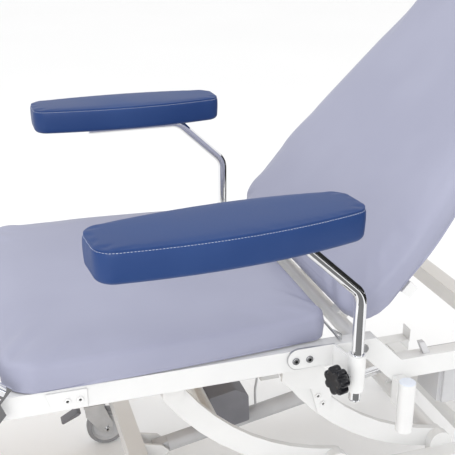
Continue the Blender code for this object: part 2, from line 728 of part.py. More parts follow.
# ---------------------------------------------------------------- backrest
def build_back(root):
    pivot = empty("back_pivot", root, (0, *BACK_PIVOT), (BACK_REST, 0, 0))
    face = SEAT_TOP - BACK_PIVOT[1]
    under = face - (SEAT_TOP - SEAT_BOTTOM) + 0.005
    half = 0.013
    reach = RAIL_OUT - RAIL_W - 0.004
    frame = solid("back_frame", rod(0.016, -reach, reach, (0, 0), sides=16), "white_frame", pivot)
    board_low = under - BOARD - GAP
    for sign in (1, -1):
        x0, x1 = span(sign, 0.186, 0.214)
        tube = box((x0, 0.004, -half), (x1, 0.660, half))
        weld(frame, tube, pivot)
        x0, x1 = span(sign, 0.0135, 0.0185)
        tip = Matrix.Rotation(-BACK_REST, 2) @ (Vector(back_lug()) - Vector(BACK_PIVOT))
        weld(frame, crank((0, 0), tuple(tip), 0.016, 0.012, x0, x1), pivot)
    for y0, y1, x in ((0.128, 0.154, 0.330), (0.634, 0.660, 0.190)):
        weld(frame, box((-x, y0, -half + 0.001), (x, y1, half - 0.001)), pivot)
    bore_ends(frame, pivot, reach)
    low = max(board_low, half + GAP)
    board = [(-0.262, 0.040), (0.262, 0.040), (0.262, 0.420), (0.195, 0.730), (-0.195, 0.730),
             (-0.262, 0.420)]
    solid("back_board", prism(board, low, under - GAP, "Z"), "plywood", pivot)
    outline = cushion_outline(back_half_width, BACK_LENGTH, 0.085, 0.085)
    outline = [(x, s + BACK_START) for x, s in outline]
    soft_slab("back_cushion", outline, under, face, CUSHION_EDGE, "lavender_upholstery", pivot)
    build_hinge_pins(root)


def bore_ends(frame, pivot, reach):
    """Blind sockets in both ends of the pivot bar for the hinge pins."""
    bm = bmesh.new()
    for sign in (1, -1):
        x0, x1 = span(sign, reach - 0.040, reach + 0.010)
        add_prism(bm, circle((0, 0), BORE_R), x0, x1)
    combine(frame, helper(bm, pivot), "DIFFERENCE")


def build_hinge_pins(root):
    reach = (RAIL_OUT - RAIL_W - PIN_DEPTH, RAIL_OUT + 0.003)
    mirror_pair(lambda side, sign: solid(f"{side}_back_hinge_pin",
                                         rod(PIN_R, *span(sign, *reach), BACK_PIVOT), "zinc", root))


# ---------------------------------------------------------------- leg section
def build_leg(root):
    pivot = empty("leg_pivot", root, (0, *LEG_PIVOT), (LEG_REST, 0, 0))
    face = SEAT_TOP - LEG_PIVOT[1]
    under = SEAT_BOTTOM - LEG_PIVOT[1]
    half = 0.0120
    reach = RAIL_OUT - RAIL_W - 0.004
    frame = solid("leg_frame", rod(0.0155, -reach, reach, (0, 0), sides=16), "white_frame", pivot)
    for sign in (1, -1):
        x0, x1 = span(sign, 0.186, 0.214)
        tube = box((x0, -0.340, -half), (x1, -0.004, half - 0.0012))
        weld(frame, tube, pivot)
    cross = box((-0.190, -0.340, -half + 0.001), (0.190, -0.316, half - 0.002))
    weld(frame, cross, pivot)
    bore_ends(frame, pivot, reach)
    board = box((-0.262, -0.375, half), (0.262, -0.030, under - GAP))
    solid("leg_board", board, "plywood", pivot)
    outline = cushion_outline(leg_half_width, LEG_LENGTH, 0.030, 0.080)
    outline = [(x, -s - 0.004) for x, s in outline]
    soft_slab("leg_cushion", outline, under, face, CUSHION_EDGE, "lavender_upholstery", pivot)
    mirror_pair(lambda side, sign: build_leg_handle(pivot, side, sign))


def build_leg_handle(pivot, side, sign):
    """A chromed hoop outside the rail, closed by a flat bar that carries the hinge pin."""
    centre, radius, tube_r = Vector((-0.0438, 0.0677)), 0.0945, 0.0125
    x = 0.3660
    low = centre.y - 0.050
    arc = [(x * sign, centre.x + radius * math.cos(a), centre.y + radius * math.sin(a))
           for a in (math.pi * i / 14 for i in range(15))]
    ends = [Vector((x * sign, centre.x + radius, low)), Vector((x * sign, centre.x - radius, low))]
    bm = bmesh.new()
    sweep(bm, [ends[0], *map(Vector, arc), ends[1]], tube_r, 12)
    hoop = solid(f"{side}_leg_handle", bm, "chrome", pivot, smooth=True)
    bar = [(centre.x + radius + 0.012, low - 0.012), (centre.x + radius + 0.012, low + 0.012),
           (0.014, low + 0.012), (0.0, low + 0.006), (-0.05, low + 0.012),
           (centre.x - radius - 0.012, low + 0.012), (centre.x - radius - 0.012, low - 0.012),
           (-0.03, low - 0.012), (-0.018, -0.014), (0.018, -0.014), (0.03, low - 0.012)]
    x0, x1 = span(sign, x - 0.0110, x - 0.0060)
    plate = prism(bar, x0, x1)
    weld(hoop, plate, pivot)
    pin = span(sign, RAIL_OUT - RAIL_W - PIN_DEPTH, x - 0.0080)
    weld(hoop, rod(PIN_R, *pin, (0, 0)), pivot)


# ---------------------------------------------------------------- armrests
def build_bracket(root, side, sign):
    """An angled plate with a welded socket for the armrest tube."""
    x0 = RAIL_OUT + GAP
    thick = 0.005
    high, low = -0.0165, -0.0580
    reach, end_r = -0.104, 0.0205
    end = circle((reach + end_r, (high + low) / 2), end_r, 8, math.pi / 2, math.pi)
    plate = end + [(-0.010, low), (-0.010, high)]
    bracket = solid(f"{side}_arm_bracket", prism(plate, *span(sign, x0, x0 + thick)),
                    "white_frame", root, smooth=True)
    wing_end = SOCKET_X - 0.0080
    wing = [(x0, -0.0145), (x0 + 0.006, -0.0150), (wing_end, -0.0030), (wing_end, 0.0020),
            (x0, -0.0094)]
    wing = [(sign * x, y) for x, y in wing]
    weld(bracket, prism(wing, low, high, "Z"), root)
    centre = (sign * SOCKET_X, 0.0)
    weld(bracket, rod(SOCKET_R, -SOCKET_H, 0.0, centre, "Z", 24), root)
    bore = rod(TUBE_R + 0.0004, -SOCKET_H - 0.01, 0.01, centre, "Z", 24)
    combine(bracket, helper(bore, root), "DIFFERENCE")
    cutter = helper(rod(STUD_R + GAP, 0.0, 0.030, (0, 0), "X", 12), root)
    cutter.location = (sign * SOCKET_X, 0, KNOB_Z)
    cutter.rotation_euler = (0, 0, knob_heading(sign))
    combine(bracket, cutter, "DIFFERENCE")
    x_face = x0 + thick + GAP
    for number, y in enumerate(SCREW_YS, 1):
        head = rod(SCREW_R, *span(sign, x_face, x_face + SCREW_HEAD), (y, KNOB_Z), sides=12)
        solid(f"{side}_bracket_screw_{number}", head, "chrome", root)


def knob_heading(sign):
    return math.radians(-75) if sign > 0 else math.radians(-105)


def build_knob(root, side, sign):
    """A seven-lobed clamp knob on its stud; X of its empty is the screw axis."""
    axis = empty(f"{side}_knob_axis", root, (sign * SOCKET_X, 0, KNOB_Z),
                 (0, 0, knob_heading(sign)))
    lobes, mean, wave, sides = 7, 0.0238, 0.0030, 42
    back, front, hub_r = 0.0330, 0.0550, 0.0110
    outline = []
    for i in range(sides):
        turn = 2 * math.pi * i / sides
        r = mean + wave * math.cos(lobes * turn)
        outline.append((r * math.cos(turn), r * math.sin(turn)))
    bm = prism(outline, back, front)
    rim = [e for e in bm.edges if abs(e.verts[0].co.x - e.verts[1].co.x) < 1e-6
           and e.verts[0].co.x > (back + front) / 2]
    bmesh.ops.bevel(bm, geom=rim, offset=0.003, segments=1, affect="EDGES")
    knob = solid(f"{side}_clamp_knob", bm, "black_plastic", axis, smooth=True)
    weld(knob, rod(hub_r, 0.0230, back + 0.001, (0, 0), sides=12), axis)
    weld(knob, rod(STUD_R, 0.0118, 0.0235, (0, 0), sides=12), axis)


def build_armrest(root, side, sign):
    """Tube, end plug and pad, on an empty that stands on the socket's axis."""
    yaw = LEFT_YAW if sign > 0 else RIGHT_YAW
    swivel = empty(f"{side}_arm_swivel", root, (sign * SOCKET_X, 0, 0), (0, 0, yaw))
    run_z = PAD_BOTTOM - GAP - TUBE_R
    elbow_z = 0.1203
    slant = math.radians(46.6)
    shoulder = -(run_z - elbow_z) * math.tan(slant)
    foot = -0.0930
    path = bend_path([(0, 0, foot), (0, 0, elbow_z), (0, shoulder, run_z), (0, -0.345, run_z)],
                     0.045, 5)
    round_tube(f"{side}_arm_tube", path, TUBE_R, "chrome", swivel, 4)
    bm = prism(circle((0, 0), TUBE_R - 0.0002), foot - 0.0045, foot - GAP, "Z")
    rim = [e for e in bm.edges if all(v.co.z < foot - 0.004 for v in e.verts)]
    bmesh.ops.bevel(bm, geom=rim, offset=0.003, segments=2, affect="EDGES")
    solid(f"{side}_tube_plug", bm, "chrome", swivel, smooth=True)
    outline = cushion_outline(pad_half_width, PAD_REAR - PAD_FRONT, 0.027, 0.027, 7)
    outline = [(x, PAD_REAR - s) for x, s in outline]
    soft_slab(f"{side}_arm_pad", outline, PAD_BOTTOM, PAD_BOTTOM + PAD_THICK, PAD_EDGE,
              "blue_upholstery", swivel)


def main():
    clear_scene()
    root = empty("chair_origin", None, (SHIFT_X, SHIFT_Y, SOCKET_TOP))
    build_base(root)
    build_castors(root)
    build_lift(root)
    build_lift_actuator(root)
    build_back_actuator(root)
    build_seat_frame(root)
    build_fittings(root)
    build_back(root)
    build_leg(root)
    mirror_pair(lambda side, sign: build_bracket(root, side, sign))
    mirror_pair(lambda side, sign: build_knob(root, side, sign))
    mirror_pair(lambda side, sign: build_armrest(root, side, sign))


main()
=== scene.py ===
"""Patient recliner chair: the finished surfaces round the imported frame.

Metres, +Z up, +X to the patient's left, +Y to the head end.
"""
import json
import math

import bmesh
import bpy
import numpy as np
from mathutils import Matrix, Vector
from mathutils.bvhtree import BVHTree

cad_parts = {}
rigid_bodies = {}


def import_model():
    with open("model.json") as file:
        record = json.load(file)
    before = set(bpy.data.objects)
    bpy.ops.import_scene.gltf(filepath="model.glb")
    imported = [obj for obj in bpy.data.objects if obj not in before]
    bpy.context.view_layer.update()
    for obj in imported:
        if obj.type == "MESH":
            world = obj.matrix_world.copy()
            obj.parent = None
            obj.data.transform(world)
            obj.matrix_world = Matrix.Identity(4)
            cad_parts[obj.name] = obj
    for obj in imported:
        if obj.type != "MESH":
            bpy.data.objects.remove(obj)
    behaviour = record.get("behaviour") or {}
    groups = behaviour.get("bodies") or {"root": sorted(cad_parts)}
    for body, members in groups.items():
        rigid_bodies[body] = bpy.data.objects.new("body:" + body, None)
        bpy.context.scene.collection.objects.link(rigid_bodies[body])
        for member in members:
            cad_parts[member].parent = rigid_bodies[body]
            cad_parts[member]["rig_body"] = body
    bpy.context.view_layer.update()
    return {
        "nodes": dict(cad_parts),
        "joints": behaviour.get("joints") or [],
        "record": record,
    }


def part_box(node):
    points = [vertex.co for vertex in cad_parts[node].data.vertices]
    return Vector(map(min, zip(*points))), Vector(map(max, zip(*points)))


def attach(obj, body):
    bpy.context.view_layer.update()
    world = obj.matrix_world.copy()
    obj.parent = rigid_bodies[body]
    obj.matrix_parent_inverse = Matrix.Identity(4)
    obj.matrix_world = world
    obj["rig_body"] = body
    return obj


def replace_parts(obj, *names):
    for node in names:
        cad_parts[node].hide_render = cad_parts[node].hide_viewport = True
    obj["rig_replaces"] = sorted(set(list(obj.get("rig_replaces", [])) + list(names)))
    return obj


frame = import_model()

SIDES = (("left", 1), ("right", -1))


# ---------------------------------------------------------------- places
def joint_at(name):
    return Vector(next(j["pos_m"] for j in frame["joints"] if j["name"] == name))


def place(origin, about_x=0.0, about_z=0.0):
    return (Matrix.Translation(origin) @ Matrix.Rotation(about_z, 4, "Z")
            @ Matrix.Rotation(about_x, 4, "X"))


RECLINE = math.radians(50)
ARM_YAW = {"left": math.radians(5.6), "right": math.radians(1.0)}
CHAIR = (joint_at("left_arm_swivel") + joint_at("right_arm_swivel")) / 2
SOCKET_X = (joint_at("left_arm_swivel") - CHAIR).x
SEAT = place(CHAIR)
BACK = place(joint_at("back_recline"), about_x=RECLINE)
LEG = place(joint_at("leg_fold"), about_x=RECLINE)
ARM = {side: place(joint_at(f"{side}_arm_swivel"), about_z=ARM_YAW[side]) for side, _ in SIDES}

RAIL_OUT, RAIL_W = 0.335, 0.030
RAIL_TOP, RAIL_LOW = -0.0215, -0.0645
REAR_RAIL_Z = -0.1015
TUBE_R, SOCKET_R, SOCKET_H = 0.011, 0.0162, 0.074
SEAT_TOP, SEAT_BOTTOM = 0.039, -0.019
SEAT_FRONT, SEAT_REAR = -0.621, -0.015
PAD_BOTTOM, PAD_THICK = 0.2425, 0.058
PAD_FRONT, PAD_REAR = -0.479, -0.0175
BRACKET_TOP, BRACKET_LOW = -0.0165, -0.0580
BRACKET_SCREW_YS, BRACKET_SCREW_Z = (-0.0883, -0.0611), -0.0400
TO_FOOT_END = Matrix.Diagonal((1, -1, 1, 1))


# ---------------------------------------------------------------- finishes
class Channel:
    """A node's output; arithmetic on it adds Math nodes."""

    def __init__(self, finish, socket):
        self.finish = finish
        self.socket = socket

    def math(self, operation, first, second):
        return self.finish.node("ShaderNodeMath", {"operation": operation}, {0: first, 1: second})

    def __add__(self, other):
        return self.math("ADD", self, other)

    def __radd__(self, other):
        return self.math("ADD", other, self)

    def __mul__(self, other):
        return self.math("MULTIPLY", self, other)

    def __rmul__(self, other):
        return self.math("MULTIPLY", other, self)


class Finish:
    """One material, its shader and the nodes that feed it."""

    def __init__(self, name, **values):
        self.material = bpy.data.materials.new(name)
        self.material.use_nodes = True
        self.tree = self.material.node_tree
        self.shader = self.tree.nodes["Principled BSDF"]
        for key, value in values.items():
            socket = key.replace("_", " ").title().replace("Ior", "IOR")
            self.shader.inputs[socket].default_value = value
        self.where = self.node("ShaderNodeTexCoord", {}, {}, "Object")

    def node(self, kind, settings, inputs, output=0):
        """Any node: its settings first, then the values or links of its sockets."""
        item = self.tree.nodes.new(kind)
        for key, value in settings.items():
            if key == "stops":
                for stop, (at, colour) in zip(item.color_ramp.elements, value):
                    stop.position, stop.color = at, colour
            else:
                setattr(item, key, value)
        for key, value in inputs.items():
            if isinstance(value, Channel):
                self.tree.links.new(value.socket, item.inputs[key])
            else:
                item.inputs[key].default_value = value
        return Channel(self, item.outputs[output])

    def noise(self, scale, detail=2.0, stretch=(1, 1, 1)):
        spot = self.node("ShaderNodeMapping", {}, {"Vector": self.where, "Scale": stretch})
        return self.node("ShaderNodeTexNoise", {},
                         {"Vector": spot, "Scale": scale, "Detail": detail}, "Fac")

    def cells(self, scale):
        return self.node("ShaderNodeTexVoronoi", {"feature": "SMOOTH_F1"},
                         {"Vector": self.where, "Scale": scale}, "Distance")

    def spread(self, value, low, high):
        """Stretch the part of a value between low and high to 0..1."""
        return self.node("ShaderNodeMapRange", {},
                         {"Value": value, "From Min": low, "From Max": high})

    def blend(self, share, first, second):
        return self.node("ShaderNodeMix", {"data_type": "RGBA"}, {0: share, 6: first, 7: second}, 2)

    def feed(self, name, value):
        self.tree.links.new(value.socket, self.shader.inputs[name])

    def relief(self, height, distance, strength):
        self.feed("Normal", self.node("ShaderNodeBump", {}, {"Height": height, "Distance": distance,
                                                             "Strength": strength}))


def opaque(red, green, blue):
    return (red, green, blue, 1.0)


def coated_fabric(name, colour, worn, grain_scale):
    """Smooth artificial leather: fine pebble grain over long soft creases."""
    finish = Finish(name, coat_weight=0.04, coat_roughness=0.40, specular_ior_level=0.26)
    pebble = finish.cells(grain_scale)
    crease = finish.noise(grain_scale * 0.22, 3.0)
    cloud = finish.spread(finish.noise(5.5, 2.0), 0.35, 0.68)
    finish.feed("Base Color", finish.blend(cloud, colour, worn))
    finish.feed("Roughness", 0.40 + 0.10 * pebble + 0.08 * cloud)
    finish.relief(pebble * 0.6 + crease * 0.5, 0.00022, 0.30)
    return finish.material


def powder_coat():
    """White powder coating with a faint orange-peel surface."""
    finish = Finish("white_powder_coat", coat_weight=0.18, coat_roughness=0.18)
    peel = finish.noise(620.0, 1.5)
    tone = finish.spread(finish.noise(9.0, 3.0), 0.3, 0.75)
    finish.feed("Base Color", finish.blend(tone, opaque(0.70, 0.70, 0.695),
                                           opaque(0.74, 0.74, 0.735)))
    finish.feed("Roughness", 0.30 + 0.10 * peel)
    finish.relief(peel, 0.00012, 0.35)
    return finish.material


def polished_chrome():
    finish = Finish("polished_chrome", metallic=1.0)
    haze = finish.noise(45.0, 4.0)
    rub = finish.noise(300.0, 2.0, (1.0, 1.0, 0.08))
    finish.feed("Base Color", finish.blend(haze, opaque(0.74, 0.75, 0.77),
                                           opaque(0.84, 0.84, 0.85)))
    finish.feed("Roughness", 0.035 + 0.05 * haze * rub)
    finish.relief(rub, 0.00002, 0.12)
    return finish.material


def plated_steel():
    finish = Finish("zinc_plated_steel", metallic=1.0)
    grain = finish.noise(260.0, 3.0, (0.15, 1.0, 1.0))
    bloom = finish.spread(finish.noise(24.0, 3.0), 0.35, 0.7)
    finish.feed("Base Color", finish.blend(bloom, opaque(0.56, 0.57, 0.58),
                                           opaque(0.68, 0.68, 0.69)))
    finish.feed("Roughness", 0.26 + 0.12 * grain + 0.08 * bloom)
    finish.relief(grain, 0.00004, 0.25)
    return finish.material


def moulded_plastic(name, colour, worn, rough, texture, shine=0.5):
    """Moulded plastic with a fine spark-eroded texture."""
    finish = Finish(name, specular_ior_level=shine)
    spark = finish.noise(texture, 2.0)
    smear = finish.spread(finish.noise(16.0, 3.0), 0.3, 0.75)
    finish.feed("Base Color", finish.blend(smear, colour, worn))
    finish.feed("Roughness", rough + 0.10 * smear + 0.06 * spark)
    finish.relief(spark, 0.00008, 0.6 * rough)
    return finish.material


def birch_plywood():
    finish = Finish("birch_plywood")
    fibre = finish.noise(60.0, 5.0, (1.0, 0.08, 1.0))
    figure = finish.spread(finish.noise(7.0, 3.0, (1.0, 0.22, 1.0)), 0.3, 0.7)
    finish.feed("Base Color", finish.blend(fibre * 0.6 + figure * 0.4, opaque(0.42, 0.28, 0.15),
                                           opaque(0.62, 0.46, 0.28)))
    finish.feed("Roughness", 0.62 + 0.2 * fibre)
    finish.relief(fibre, 0.0002, 0.4)
    return finish.material


def sewing_thread():
    finish = Finish("pale_thread", sheen_weight=0.3)
    ply = finish.noise(1800.0, 1.0)
    finish.feed("Base Color", finish.blend(ply, opaque(0.55, 0.60, 0.74), opaque(0.86, 0.88, 0.94)))
    finish.feed("Roughness", 0.6 + 0.2 * ply)
    return finish.material


FINISH = {
    "blue_upholstery": coated_fabric("blue_coated_fabric", opaque(0.012, 0.041, 0.150),
                                     opaque(0.017, 0.050, 0.168), 820.0),
    "lavender_upholstery": coated_fabric("lavender_coated_fabric", opaque(0.300, 0.308, 0.402),
                                         opaque(0.322, 0.330, 0.425), 760.0),
    "white_frame": powder_coat(),
    "chrome": polished_chrome(),
    "zinc": plated_steel(),
    "plywood": birch_plywood(),
    "black_plastic": moulded_plastic("glossy_black_plastic", opaque(0.008, 0.008, 0.010),
                                     opaque(0.011, 0.011, 0.014), 0.06, 900.0, 0.30),
    "dark_plastic": moulded_plastic("dark_housing_plastic", opaque(0.16, 0.16, 0.18),
                                    opaque(0.20, 0.20, 0.22), 0.45, 700.0),
    "grey_plastic": moulded_plastic("grey_housing_plastic", opaque(0.46, 0.46, 0.47),
                                    opaque(0.52, 0.52, 0.53), 0.42, 700.0),
    "grey_rubber": moulded_plastic("grey_rubber", opaque(0.22, 0.22, 0.23),
                                   opaque(0.30, 0.30, 0.31), 0.62, 420.0),
}
THREAD = sewing_thread()
PALE_CAP = moulded_plastic("pale_blue_cap", opaque(0.66, 0.70, 0.78),
                           opaque(0.72, 0.76, 0.83), 0.35, 600.0)
PALE_STOP = moulded_plastic("pale_rubber", opaque(0.52, 0.52, 0.53),
                            opaque(0.60, 0.60, 0.61), 0.55, 420.0)


# ---------------------------------------------------------------- pieces
def finish_piece(obj, body, slot, material=None, replaced=()):
    """Give a piece its material, the body it rides on and the nodes it stands for."""
    obj.data.materials.clear()
    obj.data.materials.append(material or FINISH[slot])
    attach(obj, body)
    if replaced:
        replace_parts(obj, *replaced)
    return obj


def mesh_object(name, bm, matrix=None, smooth_angle=35.0):
    """A bmesh as an object at the origin, shaded smooth up to an angle."""
    if matrix is not None:
        bm.transform(matrix)
    bmesh.ops.recalc_face_normals(bm, faces=bm.faces)
    mesh = bpy.data.meshes.new(name)
    bm.to_mesh(mesh)
    bm.free()
    mesh.shade_smooth()
    mesh.set_sharp_from_angle(angle=math.radians(smooth_angle))
    obj = bpy.data.objects.new(name, mesh)
    bpy.context.scene.collection.objects.link(obj)
    return obj


def plain_mesh(obj):
    """Turn an object's modifiers into its own mesh and remove them."""
    graph = bpy.context.evaluated_depsgraph_get()
    result = bpy.data.meshes.new_from_object(obj.evaluated_get(graph), depsgraph=graph)
    obj.modifiers.clear()
    obj.data = result
    return obj


def subdivided(obj):
    """Smooth a piece with one level of subdivision."""
    modifier = obj.modifiers.new("subdivision", "SUBSURF")
    modifier.levels = modifier.render_levels = 1
    return plain_mesh(obj)


def softened(obj, width):
    """Round a hard piece's edges."""
    modifier = obj.modifiers.new("edges", "BEVEL")
    modifier.width = width
    modifier.segments = 3
    modifier.limit_method = "ANGLE"
    modifier.angle_limit = math.radians(32)
    modifier.harden_normals = True
    return plain_mesh(obj)


def grid_faces(bm, rows, closed_across=False):
    """Quads between successive rows of vertices."""
    for one, two in zip(rows, rows[1:]):
        count = len(one) if closed_across else len(one) - 1
        for i in range(count):
            j = (i + 1) % len(one)
            bm.faces.new((one[i], one[j], two[j], two[i]))


def turned(name, profile, sides, matrix):
    """A closed turned shape about Z from (radius, height) points; radius 0 closes an end."""
    bm = bmesh.new()
    rows = []
    for radius, height in profile:
        if radius == 0:
            rows.append([bm.verts.new((0, 0, height))])
        else:
            rows.append([bm.verts.new((radius * math.cos(2 * math.pi * i / sides),
                                       radius * math.sin(2 * math.pi * i / sides), height))
                         for i in range(sides)])
    for one, two in zip(rows, rows[1:]):
        for i in range(sides):
            j = (i + 1) % sides
            if len(one) == 1:
                bm.faces.new((one[0], two[j], two[i]))
            elif len(two) == 1:
                bm.faces.new((one[i], one[j], two[0]))
            else:
                bm.faces.new((one[i], one[j], two[j], two[i]))
    return mesh_object(name, bm, matrix)


def ringed(name, profile, sides, matrix):
    """A turned ring about Z whose profile closes on itself."""
    bm = bmesh.new()
    rows = [[bm.verts.new((radius * math.cos(2 * math.pi * i / sides),
                           radius * math.sin(2 * math.pi * i / sides), height))
             for i in range(sides)] for radius, height in profile]
    grid_faces(bm, rows + rows[:1], closed_across=True)
    return mesh_object(name, bm, matrix)


def prism(name, outline, low, high, axis, matrix, edge=0.0):
    """A flat outline given a thickness along an axis, with rounded edges."""
    def point(a, b, along):
        return {"X": (along, a, b), "Y": (a, along, b), "Z": (a, b, along)}[axis]
    bm = bmesh.new()
    rows = [[bm.verts.new(point(a, b, along)) for a, b in outline] for along in (low, high)]
    grid_faces(bm, rows, closed_across=True)
    bm.faces.new(rows[0])
    bm.faces.new(rows[1])
    obj = mesh_object(name, bm, matrix, 30.0)
    return softened(obj, edge) if edge else obj


def arc(centre, radius, start, sweep, steps):
    return [(centre[0] + radius * math.cos(start + sweep * i / steps),
             centre[1] + radius * math.sin(start + sweep * i / steps)) for i in range(steps + 1)]


def bent(points, radius, steps=14):
    """A line whose inner corners are rounded to a bend radius."""
    points = [Vector(p) for p in points]
    path = [points[0]]
    for before, here, after in zip(points, points[1:], points[2:]):
        back, ahead = (before - here).normalized(), (after - here).normalized()
        half = back.angle(ahead) / 2
        centre = here + (back + ahead).normalized() * radius / math.sin(half)
        first = (here + back * radius / math.tan(half) - centre).normalized()
        last = (here + ahead * radius / math.tan(half) - centre).normalized()
        path += [centre + first.slerp(last, i / steps) * radius for i in range(steps + 1)]
    return path + [points[-1]]


def round_bar(name, path, radius, matrix, sides=32):
    """A smooth closed bar along a path, with slightly rounded ends."""
    bm = bmesh.new()
    path = [Vector(p) for p in path]
    tangents = [(path[min(i + 1, len(path) - 1)] - path[max(i - 1, 0)]).normalized()
                for i in range(len(path))]
    across = tangents[0].orthogonal().normalized()
    lead = min(0.0015, radius * 0.3)
    stops = [(path[0], tangents[0], radius - lead)]
    stops += [(path[0] + tangents[0] * lead, tangents[0], radius)]
    stops += [(p, t, radius) for p, t in zip(path[1:-1], tangents[1:-1])]
    stops += [(path[-1] - tangents[-1] * lead, tangents[-1], radius)]
    stops += [(path[-1], tangents[-1], radius - lead)]
    rows = []
    for centre, along, size in stops:
        across = (across - along * across.dot(along)).normalized()
        other = along.cross(across)
        rows.append([bm.verts.new(centre + (across * math.cos(2 * math.pi * k / sides)
                                            + other * math.sin(2 * math.pi * k / sides)) * size)
                     for k in range(sides)])
    grid_faces(bm, rows, closed_across=True)
    bm.faces.new(rows[0])
    bm.faces.new(rows[-1])
    return mesh_object(name, bm, matrix, 40.0)


# ---------------------------------------------------------------- node trees
class Tree:
    """A Geometry Nodes tree with named inputs."""

    def __init__(self, name, **inputs):
        self.group = bpy.data.node_groups.new(name, "GeometryNodeTree")
        face = self.group.interface
        face.new_socket("Geometry", in_out="INPUT", socket_type="NodeSocketGeometry")
        for key, value in inputs.items():
            kind = "NodeSocketMaterial" if value is None else "NodeSocketFloat"
            socket = face.new_socket(key, in_out="INPUT", socket_type=kind)
            if value is not None:
                socket.default_value = value
        face.new_socket("Geometry", in_out="OUTPUT", socket_type="NodeSocketGeometry")
        self.start = self.group.nodes.new("NodeGroupInput")
        self.end = self.group.nodes.new("NodeGroupOutput")

    def input(self, name):
        return self.start.outputs[name]

    def node(self, kind, settings=None, inputs=None):
        item = self.group.nodes.new(kind)
        for key, value in (settings or {}).items():
            setattr(item, key, value)
        for key, value in (inputs or {}).items():
            if isinstance(value, bpy.types.NodeSocket):
                self.group.links.new(value, item.inputs[key])
            else:
                item.inputs[key].default_value = value
        return item

    def close(self, geometry):
        """Realize the instances, set the material and end the tree."""
        real = self.node("GeometryNodeRealizeInstances", inputs={"Geometry": geometry})
        painted = self.node("GeometryNodeSetMaterial", inputs={"Geometry": real.outputs[0],
                                                               "Material": self.input("Material")})
        self.group.links.new(painted.outputs[0], self.end.inputs[0])
        return self.group


def stitch_tree():
    """Short thread lengths laid end to end along a line."""
    tree = Tree("stitches", Pitch=0.0034, Length=0.0023, Thickness=0.00075, Material=None)
    curve = tree.node("GeometryNodeMeshToCurve", inputs={"Mesh": tree.input("Geometry")})
    even = tree.node("GeometryNodeResampleCurve", {"mode": "LENGTH"},
                     {"Curve": curve.outputs[0], "Length": tree.input("Pitch")})
    thread = tree.node("GeometryNodeMeshUVSphere",
                       inputs={"Segments": 8, "Rings": 6, "Radius": 0.5})
    heading = tree.node("GeometryNodeInputTangent")
    turn = tree.node("FunctionNodeAlignRotationToVector", {"axis": "Z"},
                     {"Vector": heading.outputs[0]})
    size = tree.node("ShaderNodeCombineXYZ", inputs={"X": tree.input("Thickness"),
                                                     "Y": tree.input("Thickness"),
                                                     "Z": tree.input("Length")})
    spots = tree.node("GeometryNodeInstanceOnPoints",
                      inputs={"Points": even.outputs[0], "Instance": thread.outputs[0],
                              "Rotation": turn.outputs[0], "Scale": size.outputs[0]})
    return tree.close(spots.outputs[0])


def screw_tree():
    """Button heads with a hexagon recess; each point's facing attribute is the screw's axis."""
    tree = Tree("screw_heads", Radius=0.0045, Height=0.0022, Recess=0.0022, Material=None)
    rim = tree.node("GeometryNodeCurvePrimitiveCircle", inputs={"Resolution": 28,
                                                                "Radius": tree.input("Radius")})
    key = tree.node("GeometryNodeCurvePrimitiveCircle", inputs={"Resolution": 6,
                                                                "Radius": tree.input("Recess")})
    both = tree.node("GeometryNodeJoinGeometry")
    tree.group.links.new(rim.outputs[0], both.inputs[0])
    tree.group.links.new(key.outputs[0], both.inputs[0])
    face = tree.node("GeometryNodeFillCurve", inputs={"Curve": both.outputs[0]})
    up = tree.node("ShaderNodeCombineXYZ", inputs={"X": 0.0, "Y": 0.0, "Z": 1.0})
    head = tree.node("GeometryNodeExtrudeMesh", {"mode": "FACES"},
                     {"Mesh": face.outputs[0], "Offset": up.outputs[0],
                      "Offset Scale": tree.input("Height"), "Individual": False})
    base = tree.node("GeometryNodeFillCurve", inputs={"Curve": rim.outputs[0]})
    floor = tree.node("GeometryNodeFillCurve", inputs={"Curve": key.outputs[0]})
    under = tree.node("GeometryNodeFlipFaces", inputs={"Mesh": base.outputs[0]})
    whole = tree.node("GeometryNodeJoinGeometry")
    for part in (head, floor, under):
        tree.group.links.new(part.outputs[0], whole.inputs[0])
    facing = tree.node("GeometryNodeInputNamedAttribute", {"data_type": "FLOAT_VECTOR"},
                       {"Name": "facing"})
    turn = tree.node("FunctionNodeAlignRotationToVector", {"axis": "Z"},
                     {"Vector": facing.outputs[0]})
    points = tree.node("GeometryNodeMeshToPoints", inputs={"Mesh": tree.input("Geometry")})
    spots = tree.node("GeometryNodeInstanceOnPoints",
                      inputs={"Points": points.outputs[0], "Instance": whole.outputs[0],
                              "Rotation": turn.outputs[0]})
    return tree.close(spots.outputs[0])


def grown(name, points, edges, group, values, facing=None):
    """Run a node tree over points or lines and keep the plain mesh."""
    mesh = bpy.data.meshes.new(name)
    mesh.from_pydata([tuple(p) for p in points], edges, [])
    if facing is not None:
        store = mesh.attributes.new("facing", "FLOAT_VECTOR", "POINT")
        store.data.foreach_set("vector", [c for v in facing for c in v])
    obj = bpy.data.objects.new(name, mesh)
    bpy.context.scene.collection.objects.link(obj)
    modifier = obj.modifiers.new("tree", "NODES")
    modifier.node_group = group
    for item in group.interface.items_tree:
        if item.in_out == "INPUT" and item.name in values:
            modifier[item.identifier] = values[item.name]
    return plain_mesh(obj)


STITCHES = stitch_tree()
SCREWS = screw_tree()


def screws(name, body, spots, slot="chrome", radius=0.0045, height=0.0022, replaced=()):
    """Screw heads on one body: spots are (point, axis) pairs in the chair's frame."""
    points = [Vector(p) for p, _ in spots]
    axes = [Vector(a).normalized() for _, a in spots]
    values = {"Radius": radius, "Height": height, "Recess": radius * 0.5, "Material": FINISH[slot]}
    obj = grown(name, points, [], SCREWS, values, axes)
    obj.data.shade_smooth()
    obj.data.set_sharp_from_angle(angle=math.radians(35))
    return finish_piece(obj, body, slot, replaced=replaced)


